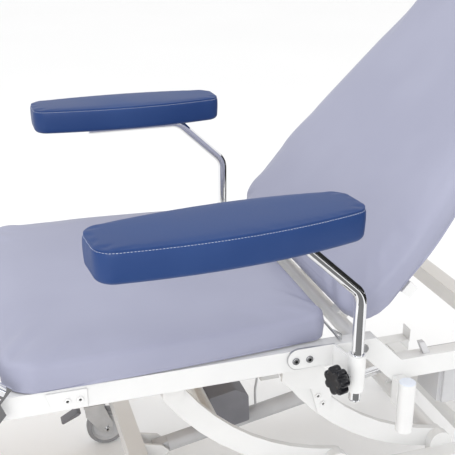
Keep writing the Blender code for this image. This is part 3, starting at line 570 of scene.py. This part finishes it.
# ---------------------------------------------------------------- cushions
CUSHION_PITCH = 0.0085      # spacing of a cushion's cross lines
CROWN_ROOM = 0.004          # the top's rim stands this much below the crown
SEAT_OVERHANG = 0.008       # the soft rear edge passes its board


def stations(length, first_r, last_r, pitch):
    """Distances along a cushion with each corner's narrowing: (s, cut) pairs."""
    def corner(radius):
        steps = max(4, math.ceil(radius * math.pi / 2 / pitch))
        turns = [math.pi / 2 * i / steps for i in range(steps + 1)]
        return [(radius * (1 - math.cos(t)), radius * (1 - math.sin(t))) for t in turns]
    first, last = corner(first_r), corner(last_r)
    straight = length - first_r - last_r
    steps = max(2, round(straight / pitch))
    middle = [(first_r + straight * i / steps, 0.0) for i in range(1, steps)]
    return first + middle + [(length - s, cut) for s, cut in reversed(last)]


def cushion_form(half_width, length, radii, levels, crown, pitch, columns):
    """A closed padded form: a crowned top grid, rings down the side and a flat bottom grid.

    levels are (outset, height) pairs from the top's rim down to the bottom's rim.
    Returns the bmesh, its rings of vertex indices and the indices of the bottom.
    """
    rows = stations(length, *radii, pitch)
    widths = [half_width(s) - cut for s, cut in rows]
    last = len(rows) - 1
    cells = [(0, j) for j in range(columns + 1)] + [(i, columns) for i in range(1, last + 1)]
    cells += [(last, j) for j in range(columns - 1, -1, -1)]
    cells += [(i, 0) for i in range(last - 1, 0, -1)]
    rim = np.array([(widths[i] * (2 * j / columns - 1), rows[i][0]) for i, j in cells])
    along = np.roll(rim, -1, axis=0) - np.roll(rim, 1, axis=0)
    along /= np.linalg.norm(along, axis=1)[:, None]
    outward = np.stack([along[:, 1], -along[:, 0]], axis=1)
    bm = bmesh.new()
    rings = []
    for outset, height in levels:
        spots = rim + outward * outset
        rings.append([bm.verts.new((x, s, height)) for x, s in spots])
    index = {cell: k for k, cell in enumerate(cells)}

    def panel(ring, height, rise):
        table = []
        for i in range(last + 1):
            left, right = ring[index[(i, 0)]].co.copy(), ring[index[(i, columns)]].co.copy()
            line = []
            for j in range(columns + 1):
                if (i, j) in index:
                    line.append(ring[index[(i, j)]])
                    continue
                spot = left.lerp(right, j / columns)
                u, v = 2 * j / columns - 1, 2 * spot.y / length - 1
                spot.z = height + rise * (1 - abs(u) ** 2.6) * (1 - abs(v) ** 3.0)
                line.append(bm.verts.new(spot))
            table.append(line)
        return table
    top = panel(rings[0], levels[0][1], crown)
    bottom = panel(rings[-1], levels[-1][1], 0.0)
    grid_faces(bm, top)
    grid_faces(bm, bottom)
    grid_faces(bm, rings, closed_across=True)
    bm.verts.index_update()
    flat = sorted({v.index for line in bottom for v in line})
    return bm, [[v.index for v in ring] for ring in rings], flat


def edge_levels(top, bottom, upper_r, lower_r, bulge, steps=5):
    """Side profile with a rounded upper and lower edge and a slight belly."""
    upper = [(-upper_r * (1 - math.sin(t)), top - upper_r * (1 - math.cos(t)))
             for t in (math.pi / 2 * i / steps for i in range(steps + 1))]
    lower = [(-lower_r * (1 - math.cos(t)), bottom + lower_r * (1 - math.sin(t)))
             for t in (math.pi / 2 * i / steps for i in range(steps + 1))]
    upper_end, lower_start = top - upper_r, bottom + lower_r
    middle = [(bulge, (upper_end + lower_start) / 2)] if upper_end - lower_start > 0.004 else []
    return upper + middle + lower


def inflate(obj, held, pressure, cap):
    """Blow a closed cover up a little with cloth, and limit how far each point moves."""
    scene = bpy.context.scene
    rest = np.array([v.co for v in obj.data.vertices])
    group = obj.vertex_groups.new(name="held")
    group.add(held, 1.0, "REPLACE")
    cloth = obj.modifiers.new("cover", "CLOTH")
    settings = cloth.settings
    settings.quality = 4
    settings.mass = 0.35
    settings.tension_stiffness = settings.compression_stiffness = 12.0
    settings.shear_stiffness = 6.0
    settings.bending_stiffness = 1.5
    settings.vertex_group_mass = "held"
    settings.use_pressure = True
    settings.uniform_pressure_force = pressure
    settings.effector_weights.gravity = 0.0
    last_frame = 20
    cloth.point_cache.frame_start, cloth.point_cache.frame_end = 1, last_frame
    for number in range(1, last_frame + 1):
        scene.frame_set(number)
    shaped = obj.evaluated_get(bpy.context.evaluated_depsgraph_get()).to_mesh()
    moved = np.array([v.co for v in shaped.vertices]) - rest
    length = np.linalg.norm(moved, axis=1)
    moved *= np.minimum(1.0, cap / np.maximum(length, 1e-9))[:, None]
    obj.modifiers.remove(cloth)
    obj.vertex_groups.clear()
    obj.data.vertices.foreach_set("co", (rest + moved).ravel().astype(np.float32))
    obj.data.update()
    scene.frame_set(1)


def cushion(name, body, half_width, length, radii, levels, crown, columns, cap, matrix):
    """A lavender cushion of the chair: form, inflated cover and smooth surface."""
    bm, _, flat = cushion_form(half_width, length, radii, levels, crown, CUSHION_PITCH, columns)
    obj = mesh_object(f"{name}_cover", bm, None, 180.0)
    inflate(obj, flat, 4.0, cap)
    obj.data.transform(matrix)
    if matrix.determinant() < 0:
        obj.data.flip_normals()
    subdivided(obj)
    obj.data.shade_smooth()
    finish_piece(obj, body, "lavender_upholstery", replaced=(name,))
    return obj


def seat_half_width(y):
    """Nearly full width at the front, drawn in towards the back's hinge."""
    widest, draw_in, start, run = 0.3465, 0.0285, 0.600, 0.579
    return widest - draw_in * max(0.0, (y + start) / run) ** 2.2


def back_half_width(s):
    """Widest at the hips, then tapering evenly to the head."""
    belly, taper, taper_start, ease, tuck = 0.352, 0.225, 0.205, 0.10, 0.006
    run = max(0.0, s - taper_start)
    return belly - taper * (run * run / (run + ease) if run else 0.0) - tuck * min(1.0, run / ease)


def leg_half_width(s):
    hip, taper, length = 0.333, 0.05, 0.400
    return hip - taper * s / length


def make_cushions():
    rear = SEAT_REAR + SEAT_OVERHANG
    cushion("seat_cushion", "seat_frame", lambda s: seat_half_width(rear - s),
            length=rear - SEAT_FRONT, radii=(0.034, 0.070),
            levels=edge_levels(SEAT_TOP - CROWN_ROOM, SEAT_BOTTOM, 0.015, 0.006, 0.0030),
            crown=0.005, columns=76, cap=0.007,
            matrix=SEAT @ (Matrix.Translation((0, rear, 0)) @ TO_FOOT_END))
    face, under, start = 0.079, 0.026, 0.0185
    cushion("back_cushion", "back", back_half_width, length=0.762, radii=(0.085, 0.085),
            levels=edge_levels(face - CROWN_ROOM, under, 0.019, 0.009, 0.0025),
            crown=0.005, columns=76, cap=0.009, matrix=BACK @ Matrix.Translation((0, start, 0)))
    face, under, start = 0.078, 0.024, -0.004
    cushion("leg_cushion", "leg", leg_half_width, length=0.400, radii=(0.030, 0.080),
            levels=edge_levels(face, under, 0.019, 0.009, 0.0025),
            crown=0.004, columns=70, cap=0.008,
            matrix=LEG @ (Matrix.Translation((0, start, 0)) @ TO_FOOT_END))


# ---------------------------------------------------------------- arm pads
SEAM_DROP = 0.0030          # the seam below the pad's top face
PAD_SLACK = 0.0045          # the cover starts this much short at each end
SEAM_RING = 4               # the seam's place in the list of pad levels
GATHERS = (23, 31, 42, 57, 71)  # waves round the side band


def pad_half_width(s):
    """Widest in the middle; the front end stays a little wider than the rear."""
    middle, front_end, rear_end = 0.0735, 0.050, 0.045
    t = 2 * s / (PAD_REAR - PAD_FRONT) - 1
    end = front_end if t > 0 else rear_end
    return middle - (middle - end) * t * t


def pad_levels():
    """The flat top turns over at its seam; the tall side band has a rounded lower edge."""
    top, bottom = PAD_BOTTOM + PAD_THICK - 0.0012, PAD_BOTTOM
    seam = top - SEAM_DROP
    lower_r, steps = 0.0105, 5
    rolled = [(-0.0042, top), (-0.0024, top - 0.0002),
              (-0.0010, top - 0.0008), (-0.0003, top - 0.0018)]
    joined = [(-0.0006, seam), (-0.0001, seam - 0.0018),
              (0.0006, seam - 0.0040), (0.0014, seam - 0.0085)]
    lower = [(0.0006 - lower_r * (1 - math.cos(t)), bottom + lower_r * (1 - math.sin(t)))
             for t in (math.pi / 2 * i / steps for i in range(steps + 1))]
    return rolled + joined + [(0.0018, (seam + bottom + lower_r) / 2)] + lower


def pucker(obj, rings, amount, seed):
    """Small gathers of the side band that fade below the seam."""
    source = np.random.default_rng(seed)
    count = len(rings[0])
    angles = np.arange(count) * 2 * math.pi / count
    wave = sum(source.uniform(0.3, 1.0) * np.sin(k * angles + source.uniform(0, 2 * math.pi))
               for k in GATHERS)
    wave *= amount / np.abs(wave).max()
    fade = {SEAM_RING + 1: 0.7, SEAM_RING + 2: 1.0, SEAM_RING + 3: 0.7, SEAM_RING - 2: 0.4}
    for ring, share in fade.items():
        for k, index in enumerate(rings[ring]):
            vertex = obj.data.vertices[index]
            flat = Vector((vertex.normal.x, vertex.normal.y, 0)).normalized()
            vertex.co += flat * wave[k] * share


def tuck_seam(obj, rings, depth):
    """Draw the seam in, so that it lies in a shallow groove."""
    for index in rings[SEAM_RING]:
        vertex = obj.data.vertices[index]
        vertex.co -= Vector((vertex.normal.x, vertex.normal.y, 0)).normalized() * depth


def on_surface(obj, points, lift):
    """Points moved onto a piece's surface, and raised by a thread's share."""
    faces = [tuple(p.vertices) for p in obj.data.polygons]
    search = BVHTree.FromPolygons([v.co for v in obj.data.vertices], faces)
    result = []
    for point in points:
        spot, normal, _, _ = search.find_nearest(point)
        result.append(spot + normal * lift)
    return result


def make_pad(side):
    length = PAD_REAR - PAD_FRONT - 2 * PAD_SLACK
    bm, rings, flat = cushion_form(lambda s: pad_half_width(s + PAD_SLACK), length, (0.024, 0.026),
                                   pad_levels(), 0.0022, 0.0052, 26)
    obj = mesh_object(f"{side}_arm_pad_cover", bm, None, 180.0)
    inflate(obj, flat + rings[SEAM_RING], 2.0, 0.0009)
    pucker(obj, rings, 0.00045, 11 if side == "left" else 12)
    tuck_seam(obj, rings, 0.0016)
    turn = ARM[side] @ Matrix.Translation((0, PAD_REAR - PAD_SLACK, 0)) @ TO_FOOT_END
    obj.data.transform(turn)
    obj.data.flip_normals()
    path = [obj.data.vertices[i].co.copy() for i in rings[SEAM_RING + 1]]
    subdivided(obj)
    obj.data.shade_smooth()
    finish_piece(obj, f"{side}_arm", "blue_upholstery", replaced=(f"{side}_arm_pad",))
    points = on_surface(obj, path, 0.0002)
    edges = [(i, (i + 1) % len(points)) for i in range(len(points))]
    thread = grown(f"{side}_pad_stitches", points, edges, STITCHES,
                   {"Pitch": 0.0052, "Length": 0.0034, "Thickness": 0.0006, "Material": THREAD})
    thread.data.shade_smooth()
    finish_piece(thread, f"{side}_arm", "blue_upholstery", THREAD)
    half, front, rear = 0.022, -0.372, -0.328
    plate_low, sunk = PAD_BOTTOM - 0.0030, 0.0010
    plate = prism(f"{side}_pad_plate", [(-half, front), (half, front), (half, rear), (-half, rear)],
                  plate_low, PAD_BOTTOM + sunk, "Z", ARM[side], 0.0008)
    finish_piece(plate, f"{side}_arm", "white_frame")
    down = ARM[side].to_3x3() @ Vector((0, 0, -1))
    spots = [(ARM[side] @ Vector((x, y, plate_low)), down)
             for x in (-0.015, 0.015) for y in (-0.362, -0.338)]
    screws(f"{side}_pad_screws", f"{side}_arm", spots)


# ---------------------------------------------------------------- arm tubes
def make_arm_tube(side):
    run_z = PAD_BOTTOM - 0.0003 - TUBE_R
    elbow_z, slant, foot, run_end = 0.1203, math.radians(46.6), -0.0930, -0.345
    shoulder = -(run_z - elbow_z) * math.tan(slant)
    path = bent([(0, 0, foot), (0, 0, elbow_z), (0, shoulder, run_z), (0, run_end, run_z)],
                radius=0.045, steps=16)
    tube = round_bar(f"{side}_arm_tube_bar", path, TUBE_R, ARM[side], 40)
    finish_piece(tube, f"{side}_arm", "chrome", replaced=(f"{side}_arm_tube",))
    tip = [(0, foot - 0.0045), (TUBE_R * 0.55, foot - 0.0044), (TUBE_R * 0.80, foot - 0.0036),
           (TUBE_R * 0.95, foot - 0.0020), (TUBE_R - 0.0002, foot), (0, foot)]
    plug = turned(f"{side}_tube_tip", tip, 40, ARM[side])
    finish_piece(plug, f"{side}_arm_post", "chrome", replaced=(f"{side}_tube_plug",))


def bracket_outline():
    """Plate beside the rail: rounded at the front, square at the socket wing."""
    reach, wing = -0.104, -0.0110
    middle, radius = (BRACKET_TOP + BRACKET_LOW) / 2, (BRACKET_TOP - BRACKET_LOW) / 2
    nose = arc((reach + radius, middle), radius, math.pi / 2, math.pi, 16)
    return nose + [(wing, BRACKET_LOW), (wing, BRACKET_TOP)]


def softened_outline(outline, outset):
    """An outline grown outwards from its middle by a small amount."""
    middle = Vector((sum(a for a, _ in outline), sum(b for _, b in outline))) / len(outline)
    grown_line = []
    for a, b in outline:
        away = Vector((a, b)) - middle
        grown_line.append(tuple(middle + away * (1 + outset / away.length)))
    return grown_line


def make_bracket(side, sign):
    """Plate, wing, clamp socket with its collar, and the two screws with their washers."""
    face, thick, rounding = RAIL_OUT + 0.0003, 0.005, 0.0009
    x0, x1 = sorted((sign * face, sign * (face + thick)))
    plate = prism(f"{side}_bracket_plate", bracket_outline(), x0, x1, "X", SEAT, rounding)
    finish_piece(plate, "seat_frame", "white_frame", replaced=(f"{side}_arm_bracket",))
    wing_end = SOCKET_X - 0.0080
    wing = [(face, -0.0140), (face + 0.0045, -0.0148), (face + 0.012, -0.0140), (wing_end, -0.0030),
            (wing_end, 0.0020), (face + 0.010, -0.0085), (face, -0.0090)]
    arm = prism(f"{side}_bracket_wing", [(sign * x, y) for x, y in wing], BRACKET_LOW, BRACKET_TOP,
                "Z", SEAT, rounding)
    finish_piece(arm, "seat_frame", "white_frame")
    centre = SEAT @ Matrix.Translation((sign * SOCKET_X, 0, 0))
    bore, mouth, rim = TUBE_R + 0.0004, 0.0008, 0.0016
    turn_in = rim * 0.3
    profile = [(bore, -SOCKET_H + 0.0006), (bore + mouth, -SOCKET_H), (SOCKET_R - rim, -SOCKET_H),
               (SOCKET_R - turn_in, -SOCKET_H + turn_in), (SOCKET_R, -SOCKET_H + rim),
               (SOCKET_R, -rim), (SOCKET_R - turn_in, -turn_in), (SOCKET_R - rim, 0.0),
               (bore + mouth, 0.0), (bore, -0.0006)]
    socket = ringed(f"{side}_clamp_socket", profile, 56, centre)
    finish_piece(socket, "seat_frame", "white_frame")
    inner = TUBE_R + 0.0003
    collar = ringed(f"{side}_socket_collar", [(inner, 0.0), (TUBE_R + 0.0022, 0.0),
                                              (TUBE_R + 0.0020, 0.0014), (TUBE_R + 0.0008, 0.0018),
                                              (inner, 0.0012)], 48, centre)
    finish_piece(collar, "seat_frame", "chrome")
    # Painted shade: a grey zinc strip just outside the plate's outline stands in for the shadowed
    # edge of the plate.
    line, inset = softened_outline(bracket_outline(), 0.0009), 0.0008
    x0, x1 = sorted((sign * (face + inset), sign * (face + thick - inset)))
    edge = prism(f"{side}_bracket_shade_rim", line, x0, x1, "X", SEAT)
    finish_piece(edge, "seat_frame", "white_frame", FINISH["zinc"])
    x = sign * (face + thick)
    spots = [(SEAT @ Vector((x, y, BRACKET_SCREW_Z)), (sign, 0, 0)) for y in BRACKET_SCREW_YS]
    washers = screws(f"{side}_bracket_washers", "seat_frame", spots, "dark_plastic", 0.0071, 0.0006)
    screws(f"{side}_bracket_screws", "seat_frame", spots, radius=0.0062, height=0.0032,
           replaced=(f"{side}_bracket_screw_1", f"{side}_bracket_screw_2"))


def make_knob(side, sign):
    """Seven soft lobes round a dished face, on a short hub and a threaded stud."""
    heading = math.radians(-75 if sign > 0 else -105)
    axis = (Matrix.Translation(joint_at(f"{side}_knob_turn")) @ Matrix.Rotation(heading, 4, "Z")
            @ Matrix.Rotation(math.pi / 2, 4, "Y"))
    sides, lobes, depth, sharpness = 140, 7, 0.0030, 3.6
    back, front = 0.0330, 0.0550
    profile = [(0.0, back, 0.0), (0.0110, back, 0.0), (0.0190, back, 0.6),
               (0.0222, back + 0.0010, 0.9), (0.0238, back + 0.0035, 1.0),
               (0.0240, (back + front) / 2, 1.0), (0.0238, front - 0.0040, 1.0),
               (0.0226, front - 0.0014, 0.95), (0.0205, front - 0.0002, 0.8), (0.0170, front, 0.4),
               (0.0140, front - 0.0006, 0.0), (0.0, front - 0.0010, 0.0)]
    bm = bmesh.new()
    rows = []
    for radius, height, wave in profile:
        if radius == 0:
            rows.append([bm.verts.new((0, 0, height))] * sides)
            continue
        row = []
        for i in range(sides):
            turn = 2 * math.pi * i / sides
            size = radius + depth * wave * (1 - 2 * abs(math.sin(lobes * turn / 2)) ** sharpness)
            row.append(bm.verts.new((size * math.cos(turn), size * math.sin(turn), height)))
        rows.append(row)
    for one, two in zip(rows, rows[1:]):
        for i in range(sides):
            j = (i + 1) % sides
            bm.faces.new(list(dict.fromkeys((one[i], one[j], two[j], two[i]))))
    knob = mesh_object(f"{side}_knob_grip", bm, axis, 50.0)
    finish_piece(knob, f"{side}_knob", "black_plastic", replaced=(f"{side}_clamp_knob",))
    hub = turned(f"{side}_knob_hub", [(0, 0.0230), (0.0090, 0.0230), (0.0105, 0.0240),
                                      (0.0110, 0.0255), (0.0110, back), (0, back)], 40, axis)
    finish_piece(hub, f"{side}_knob", "black_plastic")
    stud = turned(f"{side}_knob_stud", [(0, 0.0118), (0.0034, 0.0118), (0.0040, 0.0126),
                                        (0.0040, 0.0232), (0, 0.0232)], 24, axis)
    finish_piece(stud, f"{side}_knob", "zinc")


# ---------------------------------------------------------------- frame
def refined(node, slot, width):
    """A node's own shape with rounded edges and its finish."""
    source = frame["nodes"][node]
    bm = bmesh.new()
    bm.from_mesh(source.data)
    bmesh.ops.remove_doubles(bm, verts=bm.verts, dist=0.00001)
    bmesh.ops.dissolve_limit(bm, angle_limit=math.radians(1.0), verts=bm.verts, edges=bm.edges)
    obj = mesh_object(f"{node}_finish", bm, None, 30.0)
    softened(obj, width)
    return finish_piece(obj, source["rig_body"], slot, replaced=(node,))


ROUNDED = {
    "white_frame": (0.0016, ["base_left_rail", "base_right_rail", "base_front_cross",
                             "base_rear_cross", "seat_left_rail", "seat_right_rail",
                             "seat_front_cross", "seat_rear_cross", "head_cross", "front_lift_arm",
                             "rear_lift_arm", "back_frame", "leg_frame", "pole_socket"]),
    "plywood": (0.0012, ["seat_board", "back_board", "leg_board"]),
    "dark_plastic": (0.0025, ["lift_motor_housing", "back_motor_housing", "castor_front_left_pedal",
                              "castor_front_right_pedal"]),
    "grey_plastic": (0.0012, ["control_box", "lift_actuator_tube", "back_actuator_tube"]),
    "chrome": (0.0006, ["lift_actuator_rod", "back_actuator_rod", "left_leg_handle",
                        "right_leg_handle"]),
    "zinc": (0.0008, ["castor_front_left_fork", "castor_front_right_fork", "castor_rear_left_fork",
                      "castor_rear_right_fork"]),
}


def make_frame():
    """Round the edges of the hard nodes, and finish the rest as they are."""
    for slot, (width, nodes) in ROUNDED.items():
        for node in nodes:
            refined(node, slot, width)
    replaced = {n for o in bpy.data.objects for n in o.get("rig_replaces", [])}
    for item in frame["record"]["subparts"]:
        if item["node"] not in replaced:
            node = frame["nodes"][item["node"]]
            node.data.materials.clear()
            stop = item["node"].endswith("back_stop")
            node.data.materials.append(PALE_STOP if stop else FINISH[item["material_slot"]])


def end_cap(name, body, slot, centre, normal, width, height):
    """A ribbed plastic plug pushed into an open tube end."""
    turn = Vector(normal).to_track_quat("Z", "Y").to_matrix().to_4x4()
    half_w, half_h = width / 2 - 0.0006, height / 2 - 0.0006
    outline = [(-half_w, -half_h), (half_w, -half_h), (half_w, half_h), (-half_w, half_h)]
    cap = prism(name, outline, 0.0002, 0.0034, "Z", Matrix.Translation(centre) @ turn, 0.0012)
    return finish_piece(cap, body, slot)


def make_end_caps():
    middle, height = (RAIL_TOP + RAIL_LOW) / 2, RAIL_TOP - RAIL_LOW
    rail_front, rail_rear = -0.652, 0.440
    base_x, base_tube = 0.245, 0.040
    to_foot, to_head = (0, -1, 0), (0, 1, 0)
    for side, sign in SIDES:
        x = sign * (RAIL_OUT - RAIL_W / 2)
        end_cap(f"{side}_rail_front_cap", "seat_frame", "white_frame",
                SEAT @ Vector((x, rail_front, middle)), to_foot, RAIL_W, height)
        end_cap(f"{side}_rail_rear_cap", "seat_frame", "white_frame",
                SEAT @ Vector((x, rail_rear, REAR_RAIL_Z)), to_head, RAIL_W, height)
        low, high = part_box(f"base_{side}_rail")
        x, z = sign * base_x + CHAIR.x, high.z - base_tube / 2
        end_cap(f"{side}_base_front_cap", "base", "white_frame", Vector((x, low.y, z)), to_foot,
                base_tube, base_tube)
        end_cap(f"{side}_base_rear_cap", "base", "white_frame", Vector((x, high.y, z)), to_head,
                base_tube, base_tube)


def make_fasteners():
    """Screws of the hinge plates, hangers and control box, one set for each body."""
    spots = []
    for side, sign in SIDES:
        x = sign * RAIL_OUT
        plate = [(-0.536, -0.062), (-0.474, -0.062), (-0.474, -0.026), (-0.545, -0.026)]
        x0, x1 = sorted((x + sign * 0.0002, x + sign * 0.0030))
        part = prism(f"{side}_leg_hinge_plate", plate, x0, x1, "X", SEAT, 0.0007)
        finish_piece(part, "seat_frame", "white_frame")
        outer, screw_z = x1 if sign > 0 else x0, -0.0450
        spots += [(SEAT @ Vector((outer, y, screw_z)), (sign, 0, 0)) for y in (-0.509, -0.487)]
    screws("hinge_plate_screws", "seat_frame", spots, "white_frame", 0.0058, 0.0026)
    arm_out, arm_gap, fit_gap, hanger = 0.198, 0.007, 0.0003, 0.007
    outer = arm_out + arm_gap + fit_gap + hanger
    spots = [(SEAT @ Vector((sign * outer, y, z)), (sign, 0, 0)) for _, sign in SIDES
             for y, z in ((0.018, -0.215), (0.030, -0.236))]
    screws("hanger_screws", "seat_frame", spots, "white_frame", 0.0062, 0.0028)
    low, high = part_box("control_box")
    inset = 0.012
    spots = [(Vector((x, y, low.z)), (0, 0, -1)) for x in (low.x + inset, high.x - inset)
             for y in (low.y + inset, high.y - inset)]
    screws("control_box_screws", "seat_frame", spots, "zinc", 0.0032, 0.0014)


def make_pole_cap():
    """The pale domed plug that closes the drip pole's socket."""
    centre = SEAT @ Matrix.Translation((0.3740, 0.131, -0.107))
    profile = [(0, -0.0060), (0.0124, -0.0060), (0.0125, 0.0002), (0.0155, 0.0003),
               (0.0160, 0.0012), (0.0150, 0.0022), (0.0100, 0.0030), (0, 0.0034)]
    cap = turned("pole_socket_cap", profile, 48, centre)
    return finish_piece(cap, "seat_frame", "white_frame", PALE_CAP)


def make_retainer():
    """The bent wire that keeps the seat cushion from sliding back."""
    x, y, z = 0.328, 0.007, RAIL_TOP + 0.0030
    half = [(0.0, y, z), (x, y, z), (x, y - 0.001, z + 0.013), (x, y - 0.018, z + 0.025)]
    line = [(-px, py, pz) for px, py, pz in half[:0:-1]] + half[1:]
    wire = round_bar("cushion_retainer_wire", bent(line, 0.006, 10), 0.0024, SEAT, 20)
    finish_piece(wire, "seat_frame", "zinc", replaced=("cushion_retainer",))


# ---------------------------------------------------------------- castors
def make_wheel(name):
    """A tyre on a spoked hub with thread guards."""
    axle = joint_at(f"roll_{name}")
    turn = Matrix.Translation(axle) @ Matrix.Rotation(math.pi / 2, 4, "Y")
    node = f"castor_{name}_wheel"
    radius, half, seat = 0.0500, 0.0150, 0.0385
    tread = [(seat, -half), (radius - 0.006, -half), (radius - 0.002, -half + 0.0020),
             (radius - 0.0004, -half + 0.0060), (radius, 0.0), (radius - 0.0004, half - 0.0060),
             (radius - 0.002, half - 0.0020), (radius - 0.006, half), (seat, half)]
    tyre = ringed(f"{name}_tyre", tread, 72, turn)
    finish_piece(tyre, f"wheel_{name}", "grey_rubber", replaced=(node,))
    inboard = [(0.0066, -0.0148), (0.0120, -0.0148), (0.0130, -0.0110), (0.0330, -0.0080),
               (0.0384, -0.0140)]
    disc = inboard + [(radius_at, -height) for radius_at, height in reversed(inboard)]
    hub = ringed(f"{name}_hub", disc, 56, turn)
    finish_piece(hub, f"wheel_{name}", "grey_plastic")


def make_castor_details(name):
    """The swivel race under the rail and the axle bolt's two heads."""
    crown, race_drop = joint_at(f"swivel_{name}"), 0.0060
    swivel = Matrix.Translation((crown.x, crown.y, crown.z - race_drop))
    race = ringed(f"{name}_swivel_race", [(0.0080, -0.0042), (0.0165, -0.0042), (0.0172, -0.0020),
                                          (0.0165, -0.0003), (0.0080, -0.0003)], 40, swivel)
    finish_piece(race, f"castor_{name}", "zinc")
    axle = joint_at(f"roll_{name}")
    fork_half = 0.0216
    spots = [(axle + Vector((sign * fork_half, 0, 0)), (sign, 0, 0)) for _, sign in SIDES]
    screws(f"{name}_axle_bolt", f"castor_{name}", spots, "zinc", 0.0068, 0.0034)


# ---------------------------------------------------------------- studio
def make_stage():
    bm = bmesh.new()
    bmesh.ops.create_grid(bm, x_segments=1, y_segments=1, size=14.0)
    floor = mesh_object("studio_floor", bm)
    paint = Finish("studio_white")
    tone = paint.noise(0.6, 1.0)
    paint.feed("Base Color", paint.blend(tone, opaque(0.90, 0.90, 0.90), opaque(0.93, 0.93, 0.93)))
    paint.feed("Roughness", 0.7 + 0.1 * tone)
    floor.data.materials.append(paint.material)


def make_card(name, centre, target, width, height, brightness):
    """A flat card that only polished surfaces see."""
    bm = bmesh.new()
    bmesh.ops.create_grid(bm, x_segments=1, y_segments=1, size=0.5)
    turn = (Vector(target) - Vector(centre)).to_track_quat("Z", "Y").to_matrix().to_4x4()
    card = mesh_object(name, bm,
                       Matrix.Translation(centre) @ turn @ Matrix.Diagonal((width, height, 1, 1)))
    paint = Finish(f"{name}_paint", base_color=opaque(brightness, brightness, brightness),
                   roughness=1.0)
    card.data.materials.append(paint.material)
    card.visible_camera = card.visible_diffuse = card.visible_shadow = False


def area_light(name, centre, target, width, height, power):
    light = bpy.data.lights.new(name, "AREA")
    light.shape, light.size, light.size_y = "RECTANGLE", width, height
    light.energy = power
    obj = bpy.data.objects.new(name, light)
    bpy.context.scene.collection.objects.link(obj)
    obj.location = centre
    obj.rotation_euler = (Vector(target) - Vector(centre)).to_track_quat("-Z", "Y").to_euler()


def make_studio():
    world = bpy.data.worlds.new("studio")
    world.use_nodes = True
    sky = world.node_tree.nodes["Background"]
    sky.inputs["Color"].default_value = (1.0, 1.0, 1.0, 1.0)
    sky.inputs["Strength"].default_value = 1.06
    bpy.context.scene.world = world
    middle = CHAIR + Vector((0, -0.1, 0.1))
    area_light("overhead_soft_box", (0.3, -1.5, 3.1), middle, 2.6, 2.2, 24.0)
    area_light("side_soft_box", (2.9, -1.5, 1.7), middle, 1.5, 1.3, 36.0)
    area_light("head_end_strip", (1.3, 2.6, 2.3), middle, 0.5, 1.8, 10.0)
    card_x, behind, wide, dark = 0.8, 1.60, 4.8, 0.010
    for part, middle_z, tall in (("lower", 0.215, 0.41), ("upper", 0.775, 0.67)):
        make_card(f"dark_card_{part}", (card_x, behind, middle_z), (card_x, 0.0, middle_z),
                  wide, tall, dark)
    make_card("olive_card", (1.5, 0.05, 0.004), (1.5, 0.05, 1.0), 1.5, 1.9, 0.15)
    make_stage()


def make_camera():
    """The lens and place that give the chair its three-quarter view from the left front."""
    camera = bpy.data.cameras.new("camera")
    camera.sensor_width = 36.0
    camera.lens = 65.95
    obj = bpy.data.objects.new("camera", camera)
    bpy.context.scene.collection.objects.link(obj)
    right = Vector((0.29914, 0.95421, 0.0))
    ahead = Vector((-0.88636, 0.27787, -0.37034))
    up = right.cross(ahead)
    turn = Matrix((right, up, -ahead)).transposed().to_4x4()
    obj.matrix_world = Matrix.Translation((1.5730, -0.4002, 1.3244)) @ turn
    bpy.context.scene.camera = obj


bpy.context.scene.view_settings.view_transform = "Standard"
make_camera()
make_studio()
make_cushions()
for side_name, side_sign in SIDES:
    make_pad(side_name)
    make_arm_tube(side_name)
    make_bracket(side_name, side_sign)
    make_knob(side_name, side_sign)
make_retainer()
make_pole_cap()
for castor in ("front_left", "front_right", "rear_left", "rear_right"):
    make_wheel(castor)
    make_castor_details(castor)
make_frame()
make_end_caps()
make_fasteners()
